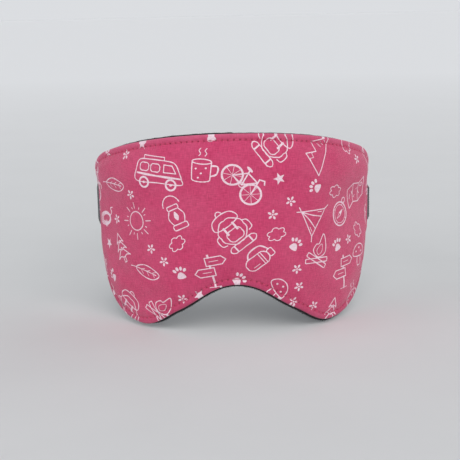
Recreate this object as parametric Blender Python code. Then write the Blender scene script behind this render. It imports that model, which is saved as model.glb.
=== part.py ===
"""Sleep mask with an adjustable elastic strap, held in the round shape that it has on a head.

Metres, +Z up, and the wearer faces -Y. The origin is the middle of the head loop, at the height
of the strap's centre line.

Three surfaces are described by a flat pattern: "across" runs along the mask from its middle,
"up" runs up it from the strap's centre line, and "out" is the distance outside the base surface,
which is the outer face of the cotton along its flat sewn border.
"""

import math

import bmesh
import bpy
import numpy as np
from mathutils import Matrix

# Head loop, seen from above: the mask wraps an ellipse, and the strap closes the loop behind it.
# Handles are those of the strap's curves, as shares of the distance between their ends.
HALF_WIDTH = 0.087
FRONT_DEPTH = 0.098
BACK_DEPTH = 0.110
SIDE_HANDLES = (0.36, 0.36)
BACK_HANDLES = (0.32, 0.46)
CORNER_FLARE = 0.004
FLARE_FROM = 0.012
FLARE_TO = 0.036
ELLIPSE_REACH = 1.7
ELLIPSE_SAMPLES = 2001

# Right half of the flat pattern, from the middle of the top edge to the top of the nose notch.
# Each anchor is a point of the edge and the direction in which the edge runs there.
PATTERN_ANCHORS = (
    ((0.0, 0.0565), (1.0, 0.0)),
    ((0.096, 0.0422), (1.0, -0.28)),
    ((0.1215, 0.019), (0.0, -1.0)),
    ((0.1185, -0.016), (-0.12, -1.0)),
    ((0.063, -0.0595), (-1.0, 0.0)),
    ((0.0355, -0.0477), (-1.0, 0.5)),
    ((0.0, -0.0313), (-1.0, 0.0)),
)
CORNER_END = 2
LOBE_START = 3
EDGE_HANDLES = (0.36, 0.36)
EDGE_STEPS = 60

# Layers of the mask, as distances outside the base surface.
GAP = 0.0003
COTTON = 0.0008
FLEECE = 0.0012
LINING_OUTER = -0.0020
LINING_INNER = LINING_OUTER - FLEECE
CROWN = 0.0032
FLAT_BORDER = 0.006
CROWN_RAMP = 0.016
PANEL_COLUMNS = 44
PANEL_ROWS = 12
WADDING_COLUMNS = slice(6, -6)
WADDING_ROWS = slice(1, -1)

# Topstitching.
STITCH_INSET = 0.0036
THREAD_RADIUS = 0.0002
THREAD_CLEARANCE = 0.0006
THREAD_SPACING = 0.0045

# Elastic.
STRAP_WIDTH = 0.020
STRAP_THICKNESS = 0.001
SEAM_DEPTH = 0.008
SEAM_EASE = 0.0002
BULGE_FROM = 0.104
BULGE_RAMP = 0.007
BULGE_EDGE = 0.012
BULGE_EDGE_RAMP = 0.010
TURN_STEPS = 12
SHIFT_STEPS = 8
SIDE_STEPS = 12
BACK_STEPS = 20
SEAM_STEPS = 3

# Ring, held by a folded tab.
WIRE_RADIUS = 0.001
RING_PITCH = 0.007
RING_HALF_HEIGHT = 0.0120
RING_CORNER = 0.0020
RING_CORNER_STEPS = 5
RING_PLAY = 0.0006
TAB_FREE = 0.008
SEAM_CLEAR = 0.002

# Straight run of the strap beside the head, where the slider travels.
RUN_SPLAY = math.radians(3.0)
RUN_LENGTH = 0.059
SLIDER_AT = 0.050
TAIL_START = 0.0035

# Slider: a flat frame outside the strap, with a middle bar on its inner side.
SLIDER_LENGTH = 0.013
SLIDER_HEIGHT = 0.0252
SLIDER_PLATE = 0.0012
SLIDER_WINDOW_LENGTH = 0.0082
SLIDER_WINDOW_HEIGHT = 0.0212
SLIDER_EDGE = 0.0003
SLIDER_BAR_SIDES = 16
CHEEK_LENGTH = 0.004
CHEEK_WIDTH = 0.0016
BAR_RADIUS = 0.0008
LOOP_LENGTH = 0.012
LOOP_CLOSES_AT = 0.0078
TACK_FROM_BAR = 0.0095
TACK_WIDTH = 0.0012
TACK_STITCHES = 14
TACK_HALF_HEIGHT = 0.0085

# Places of the layers in the run, as distances outside the middle of the ring's bar.
TURN_INNER_RADIUS = WIRE_RADIUS + GAP + RING_PLAY
RUN_LAYER = TURN_INNER_RADIUS + STRAP_THICKNESS / 2
LOOP_LAYER = RUN_LAYER - STRAP_THICKNESS - GAP
LOOP_RADIUS = BAR_RADIUS + GAP + STRAP_THICKNESS / 2
BAR_AT = LOOP_LAYER - LOOP_RADIUS

COTTON_PINK = (0.558, 0.067, 0.165, 1.0)
THREAD_PINK = (0.420, 0.045, 0.115, 1.0)
LINING_BLACK = (0.012, 0.012, 0.013, 1.0)
WADDING_WHITE = (0.800, 0.790, 0.760, 1.0)
ELASTIC_BLACK = (0.016, 0.016, 0.018, 1.0)
NICKEL = (0.620, 0.600, 0.570, 1.0)


def clear_scene():
    for obj in list(bpy.data.objects):
        bpy.data.objects.remove(obj, do_unlink=True)


def material(name, colour, roughness, metallic=0.0):
    made = bpy.data.materials.new(name)
    made.use_nodes = True
    shader = made.node_tree.nodes["Principled BSDF"]
    shader.inputs["Base Color"].default_value = colour
    shader.inputs["Roughness"].default_value = roughness
    shader.inputs["Metallic"].default_value = metallic
    made.diffuse_color = colour
    return made


def add_object(name, data, finish):
    obj = bpy.data.objects.new(name, data)
    bpy.context.scene.collection.objects.link(obj)
    data.materials.append(finish)
    return obj


def mesh_object(name, points, faces, finish):
    mesh = bpy.data.meshes.new(name)
    mesh.from_pydata([tuple(point) for point in points], [], faces)
    shaper = bmesh.new()
    shaper.from_mesh(mesh)
    bmesh.ops.recalc_face_normals(shaper, faces=shaper.faces)
    shaper.to_mesh(mesh)
    shaper.free()
    mesh.shade_smooth()
    mesh.set_sharp_from_angle(angle=math.radians(40.0))
    return add_object(name, mesh, finish)


def smooth_step(x):
    x = np.clip(x, 0.0, 1.0)
    return x * x * (3.0 - 2.0 * x)


def bezier(start, start_direction, end, end_direction, shares, steps):
    """Cubic curve between two points. Its handles are shares of the distance between them."""
    start, end = np.array(start), np.array(end)
    chord = np.linalg.norm(end - start)
    first = start + shares[0] * chord * np.array(start_direction) / np.linalg.norm(start_direction)
    second = end - shares[1] * chord * np.array(end_direction) / np.linalg.norm(end_direction)
    t = np.linspace(0.0, 1.0, steps + 1)[:, None]
    return ((1 - t) ** 3 * start + 3 * (1 - t) ** 2 * t * first
            + 3 * (1 - t) * t ** 2 * second + t ** 3 * end)


# Flat pattern


def pattern_edge(first, last, inset=0.0):
    """Points of the right half's edge from one anchor to another, moved inwards by the inset."""
    pieces = []
    for here, there in zip(PATTERN_ANCHORS[first:last], PATTERN_ANCHORS[first + 1:last + 1]):
        pieces.append(bezier(*here, *there, EDGE_HANDLES, EDGE_STEPS)[:-1])
    pieces.append(np.array([PATTERN_ANCHORS[last][0]]))
    points = np.concatenate(pieces)
    along = np.gradient(points, axis=0)
    along[0] = PATTERN_ANCHORS[first][1]
    along[-1] = PATTERN_ANCHORS[last][1]
    along /= np.linalg.norm(along, axis=1)[:, None]
    inwards = np.stack([along[:, 1], -along[:, 0]], axis=1)
    return points + inset * inwards


def pattern_outline(inset=0.0):
    """The closed edge, clockwise from the middle of the top edge."""
    right = pattern_edge(0, len(PATTERN_ANCHORS) - 1, inset)
    left = right[-2:0:-1] * (-1.0, 1.0)
    return np.concatenate([right, left])


def evenly_spaced(loop, spacing):
    """Points about one spacing apart along a closed line."""
    closed = np.concatenate([loop, loop[:1]])
    lengths = np.linalg.norm(np.diff(closed, axis=0), axis=1)
    travelled = np.concatenate([[0.0], np.cumsum(lengths)])
    wanted = np.linspace(0.0, travelled[-1], round(travelled[-1] / spacing), endpoint=False)
    return np.stack([np.interp(wanted, travelled, closed[:, axis]) for axis in (0, 1)], axis=1)


OUTLINE = pattern_outline()


def edge_distance(points):
    steps = points[..., None, :] - OUTLINE
    return np.sqrt((steps ** 2).sum(axis=-1)).min(axis=-1)


def panel_grid():
    """Grid of flat points, rows by columns, closer together towards the edges."""
    top = pattern_edge(0, CORNER_END)
    bottom = pattern_edge(LOBE_START, len(PATTERN_ANCHORS) - 1)[::-1]
    share = np.sin(np.linspace(-math.pi / 2, math.pi / 2, PANEL_COLUMNS + 1))
    ends = []
    for edge in (bottom, top):
        across = abs(share) * edge[-1, 0]
        ends.append(np.stack([np.sign(share) * across, np.interp(across, edge[:, 0], edge[:, 1])],
                             axis=1))
    rise = (1.0 - np.cos(np.linspace(0.0, math.pi, PANEL_ROWS + 1))) / 2
    return ends[0] + rise[:, None, None] * (ends[1] - ends[0])


# Worn surface


def ellipse_angle(arc_length, half_width):
    """Angle round the front ellipse, from its middle, at an arc length."""
    angle = np.linspace(-ELLIPSE_REACH, ELLIPSE_REACH, ELLIPSE_SAMPLES)
    speed = np.hypot(half_width * np.cos(angle), FRONT_DEPTH * np.sin(angle))
    travelled = np.concatenate([[0.0], np.cumsum((speed[1:] + speed[:-1]) / 2 * np.diff(angle))])
    return np.interp(arc_length, travelled - travelled[len(angle) // 2], angle)


def wrap(flat, out):
    """Worn places of flat points, at the given distances outside the base surface."""
    across, up = flat[..., 0], flat[..., 1]
    flare = smooth_step((up - FLARE_FROM) / (FLARE_TO - FLARE_FROM))
    narrow = ellipse_angle(across, HALF_WIDTH)
    wide = ellipse_angle(across, HALF_WIDTH + CORNER_FLARE)
    angle = narrow + flare * (wide - narrow)
    width = HALF_WIDTH + CORNER_FLARE * flare
    normal = np.stack([FRONT_DEPTH * np.sin(angle), -width * np.cos(angle)], axis=-1)
    normal /= np.linalg.norm(normal, axis=-1)[..., None]
    x = width * np.sin(angle) + out * normal[..., 0]
    y = -FRONT_DEPTH * np.cos(angle) + out * normal[..., 1]
    return np.stack([x, y, up], axis=-1)


def seam_bulge(flat):
    """How far the cotton stands out over what is sewn into the side seams."""
    across, up = flat[..., 0], flat[..., 1]
    single = LINING_OUTER + STRAP_THICKNESS + 2 * GAP + SEAM_EASE + COTTON
    double = single + STRAP_THICKNESS + GAP
    height = np.where(across > 0.0, double, single)
    near_end = smooth_step((abs(across) - BULGE_FROM) / BULGE_RAMP)
    near_strap = smooth_step((STRAP_WIDTH / 2 + BULGE_EDGE - abs(up)) / BULGE_EDGE_RAMP)
    return height * near_end * near_strap


def cotton_inner(flat):
    crown = CROWN * smooth_step((edge_distance(flat) - FLAT_BORDER) / CROWN_RAMP)
    return -COTTON + np.maximum(crown, seam_bulge(flat))


def cotton_outer(flat):
    return cotton_inner(flat) + COTTON


def layer(name, flat, inner, outer, finish):
    """Closed sheet between two distances outside the base surface."""
    rows, columns = flat.shape[:2]
    points = np.concatenate([wrap(flat, inner).reshape(-1, 3), wrap(flat, outer).reshape(-1, 3)])
    half = rows * columns
    faces = []
    for row in range(rows - 1):
        for column in range(columns - 1):
            corner = row * columns + column
            quad = [corner, corner + 1, corner + columns + 1, corner + columns]
            faces.append([quad[0], quad[3], quad[2], quad[1]])
            faces.append([index + half for index in quad])
    places = np.arange(half).reshape(rows, columns)
    rim = [*places[0], *places[1:, -1], *places[-1, -2::-1], *places[-2:0:-1, 0]]
    for here, there in zip(rim, rim[1:] + rim[:1]):
        faces.append([int(index) for index in (here, there, there + half, here + half)])
    return mesh_object(name, points, faces, finish)


def make_front_panel():
    flat = panel_grid()
    finish = material("printed_cotton", COTTON_PINK, 0.85)
    layer("front_panel", flat, cotton_inner(flat), cotton_outer(flat), finish)


def make_wadding():
    flat = panel_grid()[WADDING_ROWS, WADDING_COLUMNS]
    inner = np.full(flat.shape[:2], LINING_OUTER + GAP)
    finish = material("wadding_fibre", WADDING_WHITE, 0.95)
    layer("wadding", flat, inner, cotton_inner(flat) - GAP, finish)


def make_lining():
    flat = panel_grid()
    inner = np.full(flat.shape[:2], LINING_INNER)
    layer("lining_panel", flat, inner, inner + FLEECE, material("black_fleece", LINING_BLACK, 0.95))


def thread_loop(name, flat, out, finish):
    curve = bpy.data.curves.new(name, "CURVE")
    curve.dimensions = "3D"
    curve.bevel_depth = THREAD_RADIUS
    curve.bevel_resolution = 0
    line = curve.splines.new("POLY")
    places = wrap(flat, out)
    line.points.add(len(places) - 1)
    for point, place in zip(line.points, places):
        point.co = (*place, 1.0)
    line.use_cyclic_u = True
    add_object(name, curve, finish)


def make_topstitching():
    flat = evenly_spaced(pattern_outline(STITCH_INSET), THREAD_SPACING)
    thread_loop("needle_thread", flat, cotton_outer(flat) + THREAD_CLEARANCE,
                material("pink_thread", THREAD_PINK, 0.6))
    inside = np.full(len(flat), LINING_INNER - THREAD_CLEARANCE)
    thread_loop("bobbin_thread", flat, inside, material("black_thread", LINING_BLACK, 0.6))


# Elastic, in plan


def seam_end():
    """How far across the mask its side seam is, at the strap's centre line."""
    (top_across, top_up), (low_across, low_up) = (
        PATTERN_ANCHORS[CORNER_END][0], PATTERN_ANCHORS[LOBE_START][0])
    return low_across + (top_across - low_across) * (0.0 - low_up) / (top_up - low_up)


def seam_path(side, out):
    """Plan points inside the side seam, from its inner end to the edge of the mask."""
    across = side * np.linspace(seam_end() - SEAM_DEPTH, seam_end(), SEAM_STEPS + 1)
    flat = np.stack([across, np.zeros_like(across)], axis=1)
    return wrap(flat, np.full(len(across), out))[:, :2]


def seam_direction(side):
    points = seam_path(side, 0.0)
    step = points[-1] - points[-2]
    return step / np.linalg.norm(step)


def frame_at(place, direction):
    """Local frame in plan: Y along the direction, X to its right, which is outwards here."""
    return Matrix.Translation((*place, 0.0)) @ Matrix.Rotation(
        math.atan2(-direction[0], direction[1]), 4, "Z")


def in_frame(frame, points):
    """World plan points of local (outwards, along) points."""
    return np.array([(frame @ Matrix.Translation((*point, 0.0))).translation[:2]
                     for point in points])


def arc(centre, radius, first, last):
    """Arc of (outwards, along) points, with its angles measured from the outwards direction."""
    angles = np.linspace(first, last, TURN_STEPS + 1)
    return np.stack([centre[0] + radius * np.cos(angles), centre[1] + radius * np.sin(angles)],
                    axis=1)


def shift(first, last, start, end, steps=SHIFT_STEPS):
    """Line along the strap that moves smoothly from one distance outwards to another."""
    t = np.linspace(0.0, 1.0, steps + 1)
    return np.stack([first + (last - first) * smooth_step(t), start + (end - start) * t], axis=1)


TAB_MIDDLE = LINING_OUTER + GAP + STRAP_THICKNESS + GAP / 2
TAB_FRAME = frame_at(seam_path(1, 0.0)[-1], seam_direction(1))
FRONT_BAR = (TAB_MIDDLE, TAB_FREE)
RUN_DIRECTION = np.array([math.sin(RUN_SPLAY), math.cos(RUN_SPLAY)])
RING_DIRECTION = (seam_direction(1) + RUN_DIRECTION) / np.linalg.norm(
    seam_direction(1) + RUN_DIRECTION)
RING_FRAME = frame_at(in_frame(TAB_FRAME, [FRONT_BAR])[0], RING_DIRECTION)
RUN_FRAME = frame_at(in_frame(RING_FRAME, [(0.0, RING_PITCH)])[0], RUN_DIRECTION)
SLIDER_FRAME = RUN_FRAME @ Matrix.Translation((0.0, SLIDER_AT, 0.0))


def strip(name, path, finish):
    """Flat elastic that follows a path in plan, standing on edge."""
    along = np.gradient(path, axis=0)
    along /= np.linalg.norm(along, axis=1)[:, None]
    sideways = np.stack([along[:, 1], -along[:, 0]], axis=1) * STRAP_THICKNESS / 2
    half = STRAP_WIDTH / 2
    points = []
    for place, side in zip(path, sideways):
        points += [(*(place - side), -half), (*(place + side), -half),
                   (*(place + side), half), (*(place - side), half)]
    faces = [(0, 1, 2, 3), tuple(len(points) - 1 - index for index in range(4))]
    for station in range(0, len(points) - 4, 4):
        for corner in range(4):
            following = (corner + 1) % 4
            faces.append((station + corner, station + 4 + corner,
                          station + 4 + following, station + following))
    return mesh_object(name, points, faces, finish)


def strap_path():
    """From the left seam round the head, along the straight run and round the ring's rear bar."""
    layer_out = LINING_OUTER + GAP + STRAP_THICKNESS / 2
    seam = seam_path(-1, layer_out)
    run_end = in_frame(RUN_FRAME, [(RUN_LAYER, RUN_LENGTH)])[0]
    left_end = run_end * (-1.0, 1.0)
    back = np.array([0.0, BACK_DEPTH])
    forwards = RUN_DIRECTION * (-1.0, 1.0)
    left_side = bezier(seam[-1], seam_direction(-1), left_end, forwards, SIDE_HANDLES, SIDE_STEPS)
    left_back = bezier(left_end, forwards, back, (1.0, 0.0), BACK_HANDLES, BACK_STEPS)
    right_back = left_back[::-1] * (-1.0, 1.0)
    turn_at = (0.0, RING_PLAY)
    run = in_frame(RUN_FRAME, shift(RUN_LAYER, RUN_LAYER, RUN_LENGTH, turn_at[1]))
    turn = in_frame(RUN_FRAME, arc(turn_at, RUN_LAYER, 0.0, -math.pi))
    tail = in_frame(RUN_FRAME, [(-RUN_LAYER, TAIL_START)])
    return np.concatenate([seam, left_side[1:], left_back[1:], right_back[1:], run[1:], turn[1:],
                           tail])


def make_strap(finish):
    strip("strap_elastic", strap_path(), finish)


def make_tail(finish):
    """Doubled end of the strap, from just behind the ring to the fold that the slider holds."""
    end = SLIDER_AT - LOOP_LENGTH - GAP
    path = shift(-RUN_LAYER, LOOP_LAYER, TAIL_START + GAP, end)
    strip("strap_tail", in_frame(RUN_FRAME, path), finish)


def make_tab(finish):
    """Elastic folded round the ring's front bar, with both ends in the right side seam."""
    spread = (STRAP_THICKNESS + GAP) / 2
    turn_radius = WIRE_RADIUS + GAP + STRAP_THICKNESS / 2
    middle = FRONT_BAR[0]
    outer = shift(middle + spread, middle + turn_radius, SEAM_CLEAR, TAB_FREE)
    turn = arc(FRONT_BAR, turn_radius, 0.0, math.pi)
    inner = shift(middle - turn_radius, middle - spread, TAB_FREE, SEAM_CLEAR)
    path = np.concatenate([
        seam_path(1, middle + spread),
        in_frame(TAB_FRAME, outer),
        in_frame(TAB_FRAME, turn)[1:-1],
        in_frame(TAB_FRAME, inner),
        seam_path(1, middle - spread)[::-1],
    ])
    strip("ring_tab", path, finish)


# Ring and slider


def make_ring():
    """Rectangular wire ring. Its origin is on its front bar, where it turns in the tab."""
    pivot = bpy.data.objects.new("ring_pivot", None)
    bpy.context.scene.collection.objects.link(pivot)
    pivot.matrix_world = RING_FRAME
    curve = bpy.data.curves.new("adjuster_ring", "CURVE")
    curve.dimensions = "3D"
    curve.bevel_depth = WIRE_RADIUS
    curve.bevel_resolution = 4
    corners = (
        (RING_PITCH - RING_CORNER, RING_HALF_HEIGHT - RING_CORNER, 0.0),
        (RING_CORNER, RING_HALF_HEIGHT - RING_CORNER, math.pi / 2),
        (RING_CORNER, RING_CORNER - RING_HALF_HEIGHT, math.pi),
        (RING_PITCH - RING_CORNER, RING_CORNER - RING_HALF_HEIGHT, 1.5 * math.pi),
    )
    places = []
    for along, up, first in corners:
        for angle in np.linspace(first, first + math.pi / 2, RING_CORNER_STEPS + 1):
            places.append((0.0, along + RING_CORNER * math.cos(angle),
                           up + RING_CORNER * math.sin(angle), 1.0))
    line = curve.splines.new("POLY")
    line.points.add(len(places) - 1)
    for point, place in zip(line.points, places):
        point.co = place
    line.use_cyclic_u = True
    ring = add_object("adjuster_ring", curve, material("nickel_wire", NICKEL, 0.3, 1.0))
    ring.parent = pivot


def box_mesh(name, size, centre):
    """Box whose sides run along the axes."""
    mesh = bpy.data.meshes.new(name)
    shaper = bmesh.new()
    bmesh.ops.create_cube(shaper, size=1.0, matrix=Matrix.Translation(centre)
                          @ Matrix.Diagonal((*size, 1.0)))
    shaper.to_mesh(mesh)
    shaper.free()
    return mesh


def cutter(name, mesh, parent):
    obj = bpy.data.objects.new(name, mesh)
    bpy.context.scene.collection.objects.link(obj)
    obj.hide_render = True
    obj.display_type = "WIRE"
    obj.parent = parent
    return obj


def add_boolean(obj, operation, other):
    modifier = obj.modifiers.new(f"{operation.lower()}_{other.name}", "BOOLEAN")
    modifier.operation = operation
    modifier.solver = "EXACT"
    modifier.object = other


def add_bevel(obj, width):
    modifier = obj.modifiers.new("rounded_edges", "BEVEL")
    modifier.width = width
    modifier.segments = 2
    modifier.limit_method = "ANGLE"


def make_slider_frame(parent):
    """Window frame outside the strap, with cheeks that carry the middle bar on the inner side."""
    plate_at = RUN_LAYER + STRAP_THICKNESS / 2 + GAP + SLIDER_PLATE / 2
    mesh = box_mesh("slider_frame", (SLIDER_PLATE, SLIDER_LENGTH, SLIDER_HEIGHT),
                    (plate_at, 0.0, 0.0))
    slider = add_object("adjuster_slider", mesh, material("nickel_casting", NICKEL, 0.3, 1.0))
    slider.parent = parent
    window = box_mesh("slider_window", (4 * SLIDER_PLATE, SLIDER_WINDOW_LENGTH,
                                        SLIDER_WINDOW_HEIGHT), (plate_at, 0.0, 0.0))
    add_boolean(slider, "DIFFERENCE", cutter("slider_window", window, parent))
    cheek_inner = BAR_AT - BAR_RADIUS - GAP
    cheek_outer = plate_at + SLIDER_PLATE / 4
    cheek_height = SLIDER_WINDOW_HEIGHT / 2 + CHEEK_WIDTH / 2
    for side, word in ((1, "upper"), (-1, "lower")):
        cheek = box_mesh(f"slider_cheek_{word}",
                         (cheek_outer - cheek_inner, CHEEK_LENGTH, CHEEK_WIDTH),
                         ((cheek_outer + cheek_inner) / 2, 0.0, side * cheek_height))
        add_boolean(slider, "UNION", cutter(f"slider_cheek_{word}", cheek, parent))
    bar = bpy.data.meshes.new("slider_bar")
    shaper = bmesh.new()
    bmesh.ops.create_cone(shaper, cap_ends=True, segments=SLIDER_BAR_SIDES,
                          radius1=BAR_RADIUS, radius2=BAR_RADIUS, depth=2 * cheek_height,
                          matrix=Matrix.Translation((BAR_AT, 0.0, 0.0)))
    shaper.to_mesh(bar)
    shaper.free()
    add_boolean(slider, "UNION", cutter("slider_bar", bar, parent))
    add_bevel(slider, SLIDER_EDGE)
    slider.data.shade_smooth()
    slider.data.set_sharp_from_angle(angle=math.radians(40.0))


def make_end_loop(parent, finish):
    """Sewn end of the strap: over the middle bar, round it and back under itself."""
    under = LOOP_LAYER - STRAP_THICKNESS - GAP
    over = shift(LOOP_LAYER, LOOP_LAYER, -LOOP_LENGTH, 0.0)
    turn = arc((BAR_AT, 0.0), LOOP_RADIUS, 0.0, math.pi)
    back = shift(BAR_AT - LOOP_RADIUS, under, 0.0, -LOOP_CLOSES_AT)
    end = shift(under, under, -LOOP_CLOSES_AT, -LOOP_LENGTH)
    path = np.concatenate([over, turn[1:], back[1:], end[1:]])
    loop = strip("strap_end_loop", path, finish)
    loop.parent = parent


def make_loop_stitch(parent):
    """Bar tack, a zigzag of thread on the inner face of the fold."""
    out = LOOP_LAYER - 1.5 * STRAP_THICKNESS - GAP - GAP - 1.5 * THREAD_RADIUS
    curve = bpy.data.curves.new("loop_stitch", "CURVE")
    curve.dimensions = "3D"
    curve.bevel_depth = THREAD_RADIUS
    curve.bevel_resolution = 0
    curve.use_fill_caps = True
    line = curve.splines.new("POLY")
    line.points.add(TACK_STITCHES)
    heights = np.linspace(-TACK_HALF_HEIGHT, TACK_HALF_HEIGHT, TACK_STITCHES + 1)
    for index, (point, height) in enumerate(zip(line.points, heights)):
        along = -TACK_FROM_BAR + (TACK_WIDTH / 2 if index % 2 else -TACK_WIDTH / 2)
        point.co = (out, along, height, 1.0)
    stitch = add_object("loop_stitch", curve, material("tack_thread", ELASTIC_BLACK, 0.6))
    stitch.parent = parent


def make_slider(elastic):
    axis = bpy.data.objects.new("slider_axis", None)
    bpy.context.scene.collection.objects.link(axis)
    axis.matrix_world = SLIDER_FRAME
    make_slider_frame(axis)
    make_end_loop(axis, elastic)
    make_loop_stitch(axis)


def main():
    clear_scene()
    make_front_panel()
    make_wadding()
    make_lining()
    make_topstitching()
    make_strap(material("strap_elastic", ELASTIC_BLACK, 0.8))
    make_tail(material("tail_elastic", ELASTIC_BLACK, 0.8))
    make_tab(material("tab_elastic", ELASTIC_BLACK, 0.8))
    make_ring()
    make_slider(material("loop_elastic", ELASTIC_BLACK, 0.8))


main()
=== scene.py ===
"""Looks of the sleep mask: printed cotton, fleece lining, topstitching, wadding, elastic and hardware.

Metres, in the frame of the CAD. Flat pattern coordinates are those of the CAD too: across the mask,
up from the strap's centre line, and out from the outer face of the cotton at its sewn border.
The print is drawn in millimetres on the flat pattern.
"""

import math

import bpy
import numpy as np
from mathutils import Matrix, Vector, geometry, kdtree


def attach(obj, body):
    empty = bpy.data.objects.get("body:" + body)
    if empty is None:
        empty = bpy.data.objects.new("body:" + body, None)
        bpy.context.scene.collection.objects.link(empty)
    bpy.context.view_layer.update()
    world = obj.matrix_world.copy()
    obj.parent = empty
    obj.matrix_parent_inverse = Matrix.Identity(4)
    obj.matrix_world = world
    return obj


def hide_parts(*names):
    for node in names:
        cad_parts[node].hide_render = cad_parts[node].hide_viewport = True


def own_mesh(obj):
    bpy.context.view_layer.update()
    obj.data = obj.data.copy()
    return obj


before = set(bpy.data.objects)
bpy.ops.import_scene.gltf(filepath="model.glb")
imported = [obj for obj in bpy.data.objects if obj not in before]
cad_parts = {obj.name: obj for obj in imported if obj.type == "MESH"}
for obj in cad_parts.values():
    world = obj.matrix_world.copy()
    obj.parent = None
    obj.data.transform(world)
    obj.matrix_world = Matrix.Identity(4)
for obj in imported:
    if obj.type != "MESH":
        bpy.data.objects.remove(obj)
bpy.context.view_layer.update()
MM = 0.001

# Worn surface and flat pattern, as in the CAD.
HALF_WIDTH = 0.087
FRONT_DEPTH = 0.098
BACK_DEPTH = 0.110
SIDE_HANDLES = (0.36, 0.36)
BACK_HANDLES = (0.32, 0.46)
CORNER_FLARE = 0.004
FLARE_FROM = 0.012
FLARE_TO = 0.036
PATTERN_ANCHORS = (
    ((0.0, 0.0565), (1.0, 0.0)),
    ((0.096, 0.0422), (1.0, -0.28)),
    ((0.1215, 0.019), (0.0, -1.0)),
    ((0.1185, -0.016), (-0.12, -1.0)),
    ((0.063, -0.0595), (-1.0, 0.0)),
    ((0.0355, -0.0477), (-1.0, 0.5)),
    ((0.0, -0.0313), (-1.0, 0.0)),
)
PATTERN_SIZE = (0.243, 0.116)
EDGE_HANDLES = (0.36, 0.36)
EDGE_STEPS = 60
GAP = 0.0003
COTTON = 0.0008
LINING_OUTER = -0.0020
LINING_INNER = -0.0032
STITCH_INSET = 0.0036
STRAP_WIDTH = 0.020
STRAP_THICKNESS = 0.001
SEAM_DEPTH = 0.008
SEAM_EASE = 0.0002
BULGE_FROM = 0.104
BULGE_RAMP = 0.007
BULGE_EDGE = 0.012
BULGE_EDGE_RAMP = 0.010

# Strap, ring and slider, as in the CAD.
WIRE_RADIUS = 0.001
RING_PITCH = 0.007
RING_HALF_HEIGHT = 0.0120
RING_CORNER = 0.0020
RING_PLAY = 0.0006
TAB_FREE = 0.008
SEAM_CLEAR = 0.002
RUN_SPLAY = math.radians(3.0)
RUN_LENGTH = 0.059
SLIDER_AT = 0.050
TAIL_START = 0.0035
LOOP_LENGTH = 0.012
LOOP_CLOSES_AT = 0.0078
BAR_RADIUS = 0.0008
TACK_FROM_BAR = 0.0095
TACK_HALF_HEIGHT = 0.0085
TURN_INNER_RADIUS = WIRE_RADIUS + GAP + RING_PLAY
RUN_LAYER = TURN_INNER_RADIUS + STRAP_THICKNESS / 2
LOOP_LAYER = RUN_LAYER - STRAP_THICKNESS - GAP
LOOP_RADIUS = BAR_RADIUS + GAP + STRAP_THICKNESS / 2
BAR_AT = LOOP_LAYER - LOOP_RADIUS
SEAM_END = 0.1203

# Soft shapes of the cotton.
ROLL = 0.0011
CLOTH = 0.0004
GRID = 0.0019
TRACK_STEP = 0.00045
OUTLINE_SPACING = 0.0016
STITCH_PITCH = 0.0034
THREAD = 0.00021
WELT = 0.00022
WELT_AT = 0.0016
WELT_WIDTH = 0.0011
GROOVE = 0.00020
GROOVE_WIDTH = 0.0008
PUCKER = 0.00016
PUCKER_AT = 0.0046
PUCKER_WIDTH = 0.0034
HOLE = 0.00060
HOLE_RADIUS = 0.00042
HOLE_SHADE_REACH = 0.00045
PAD_EDGE = 0.0014
PAD_EDGE_RISE = 0.0030
PAD_CROWN = 0.0020
PAD_CROWN_RISE = 0.019
SEAM_BLEND = 0.0004
SWELL_BLUR = 0.0032
SWELL_RISE = 0.005

# Soft shapes of the lining.
LINING_PAD = 0.0010
LINING_PAD_RISE = 0.0045
LINING_GROOVE = 0.00050
LINING_GROOVE_WIDTH = 0.0012
LINING_DIMPLE = 0.0003
LINING_HOLE = 0.0006
LUMP = 0.00008
LINING_PUCKER = 0.00012
CREASE = 0.00012
REACH_LEAST = 0.0001
REACH_AT_NOTCH = 0.0011
REACH_AT_TOP = 0.00010
REACH_TOP_LEFT = 0.00035
REACH_WAVER = 0.00012


def smooth_step(x):
    x = np.clip(x, 0.0, 1.0)
    return x * x * (3.0 - 2.0 * x)


def unit(vectors):
    """Vectors scaled to a length of 1."""
    return vectors / np.linalg.norm(vectors, axis=-1)[..., None]


def bezier(start, start_direction, end, end_direction, shares, steps):
    start, end = np.array(start), np.array(end)
    chord = np.linalg.norm(end - start)
    first = start + shares[0] * chord * np.array(start_direction) / np.linalg.norm(start_direction)
    second = end - shares[1] * chord * np.array(end_direction) / np.linalg.norm(end_direction)
    t = np.linspace(0.0, 1.0, steps + 1)[:, None]
    return ((1 - t) ** 3 * start + 3 * (1 - t) ** 2 * t * first
            + 3 * (1 - t) * t ** 2 * second + t ** 3 * end)


def pattern_outline(inset=0.0):
    """The closed edge, clockwise from the middle of the top edge, moved inwards by the inset."""
    pieces = []
    for here, there in zip(PATTERN_ANCHORS[:-1], PATTERN_ANCHORS[1:]):
        pieces.append(bezier(*here, *there, EDGE_HANDLES, EDGE_STEPS)[:-1])
    right = np.concatenate([*pieces, [PATTERN_ANCHORS[-1][0]]])
    along = np.gradient(right, axis=0)
    along[0] = PATTERN_ANCHORS[0][1]
    along[-1] = PATTERN_ANCHORS[-1][1]
    along = unit(along)
    right = right + inset * np.stack([along[:, 1], -along[:, 0]], axis=1)
    return np.concatenate([right, right[-2:0:-1] * (-1.0, 1.0)])


def lengths_along(line):
    return np.concatenate([[0.0], np.cumsum(np.linalg.norm(np.diff(line, axis=0), axis=1))])


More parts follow.
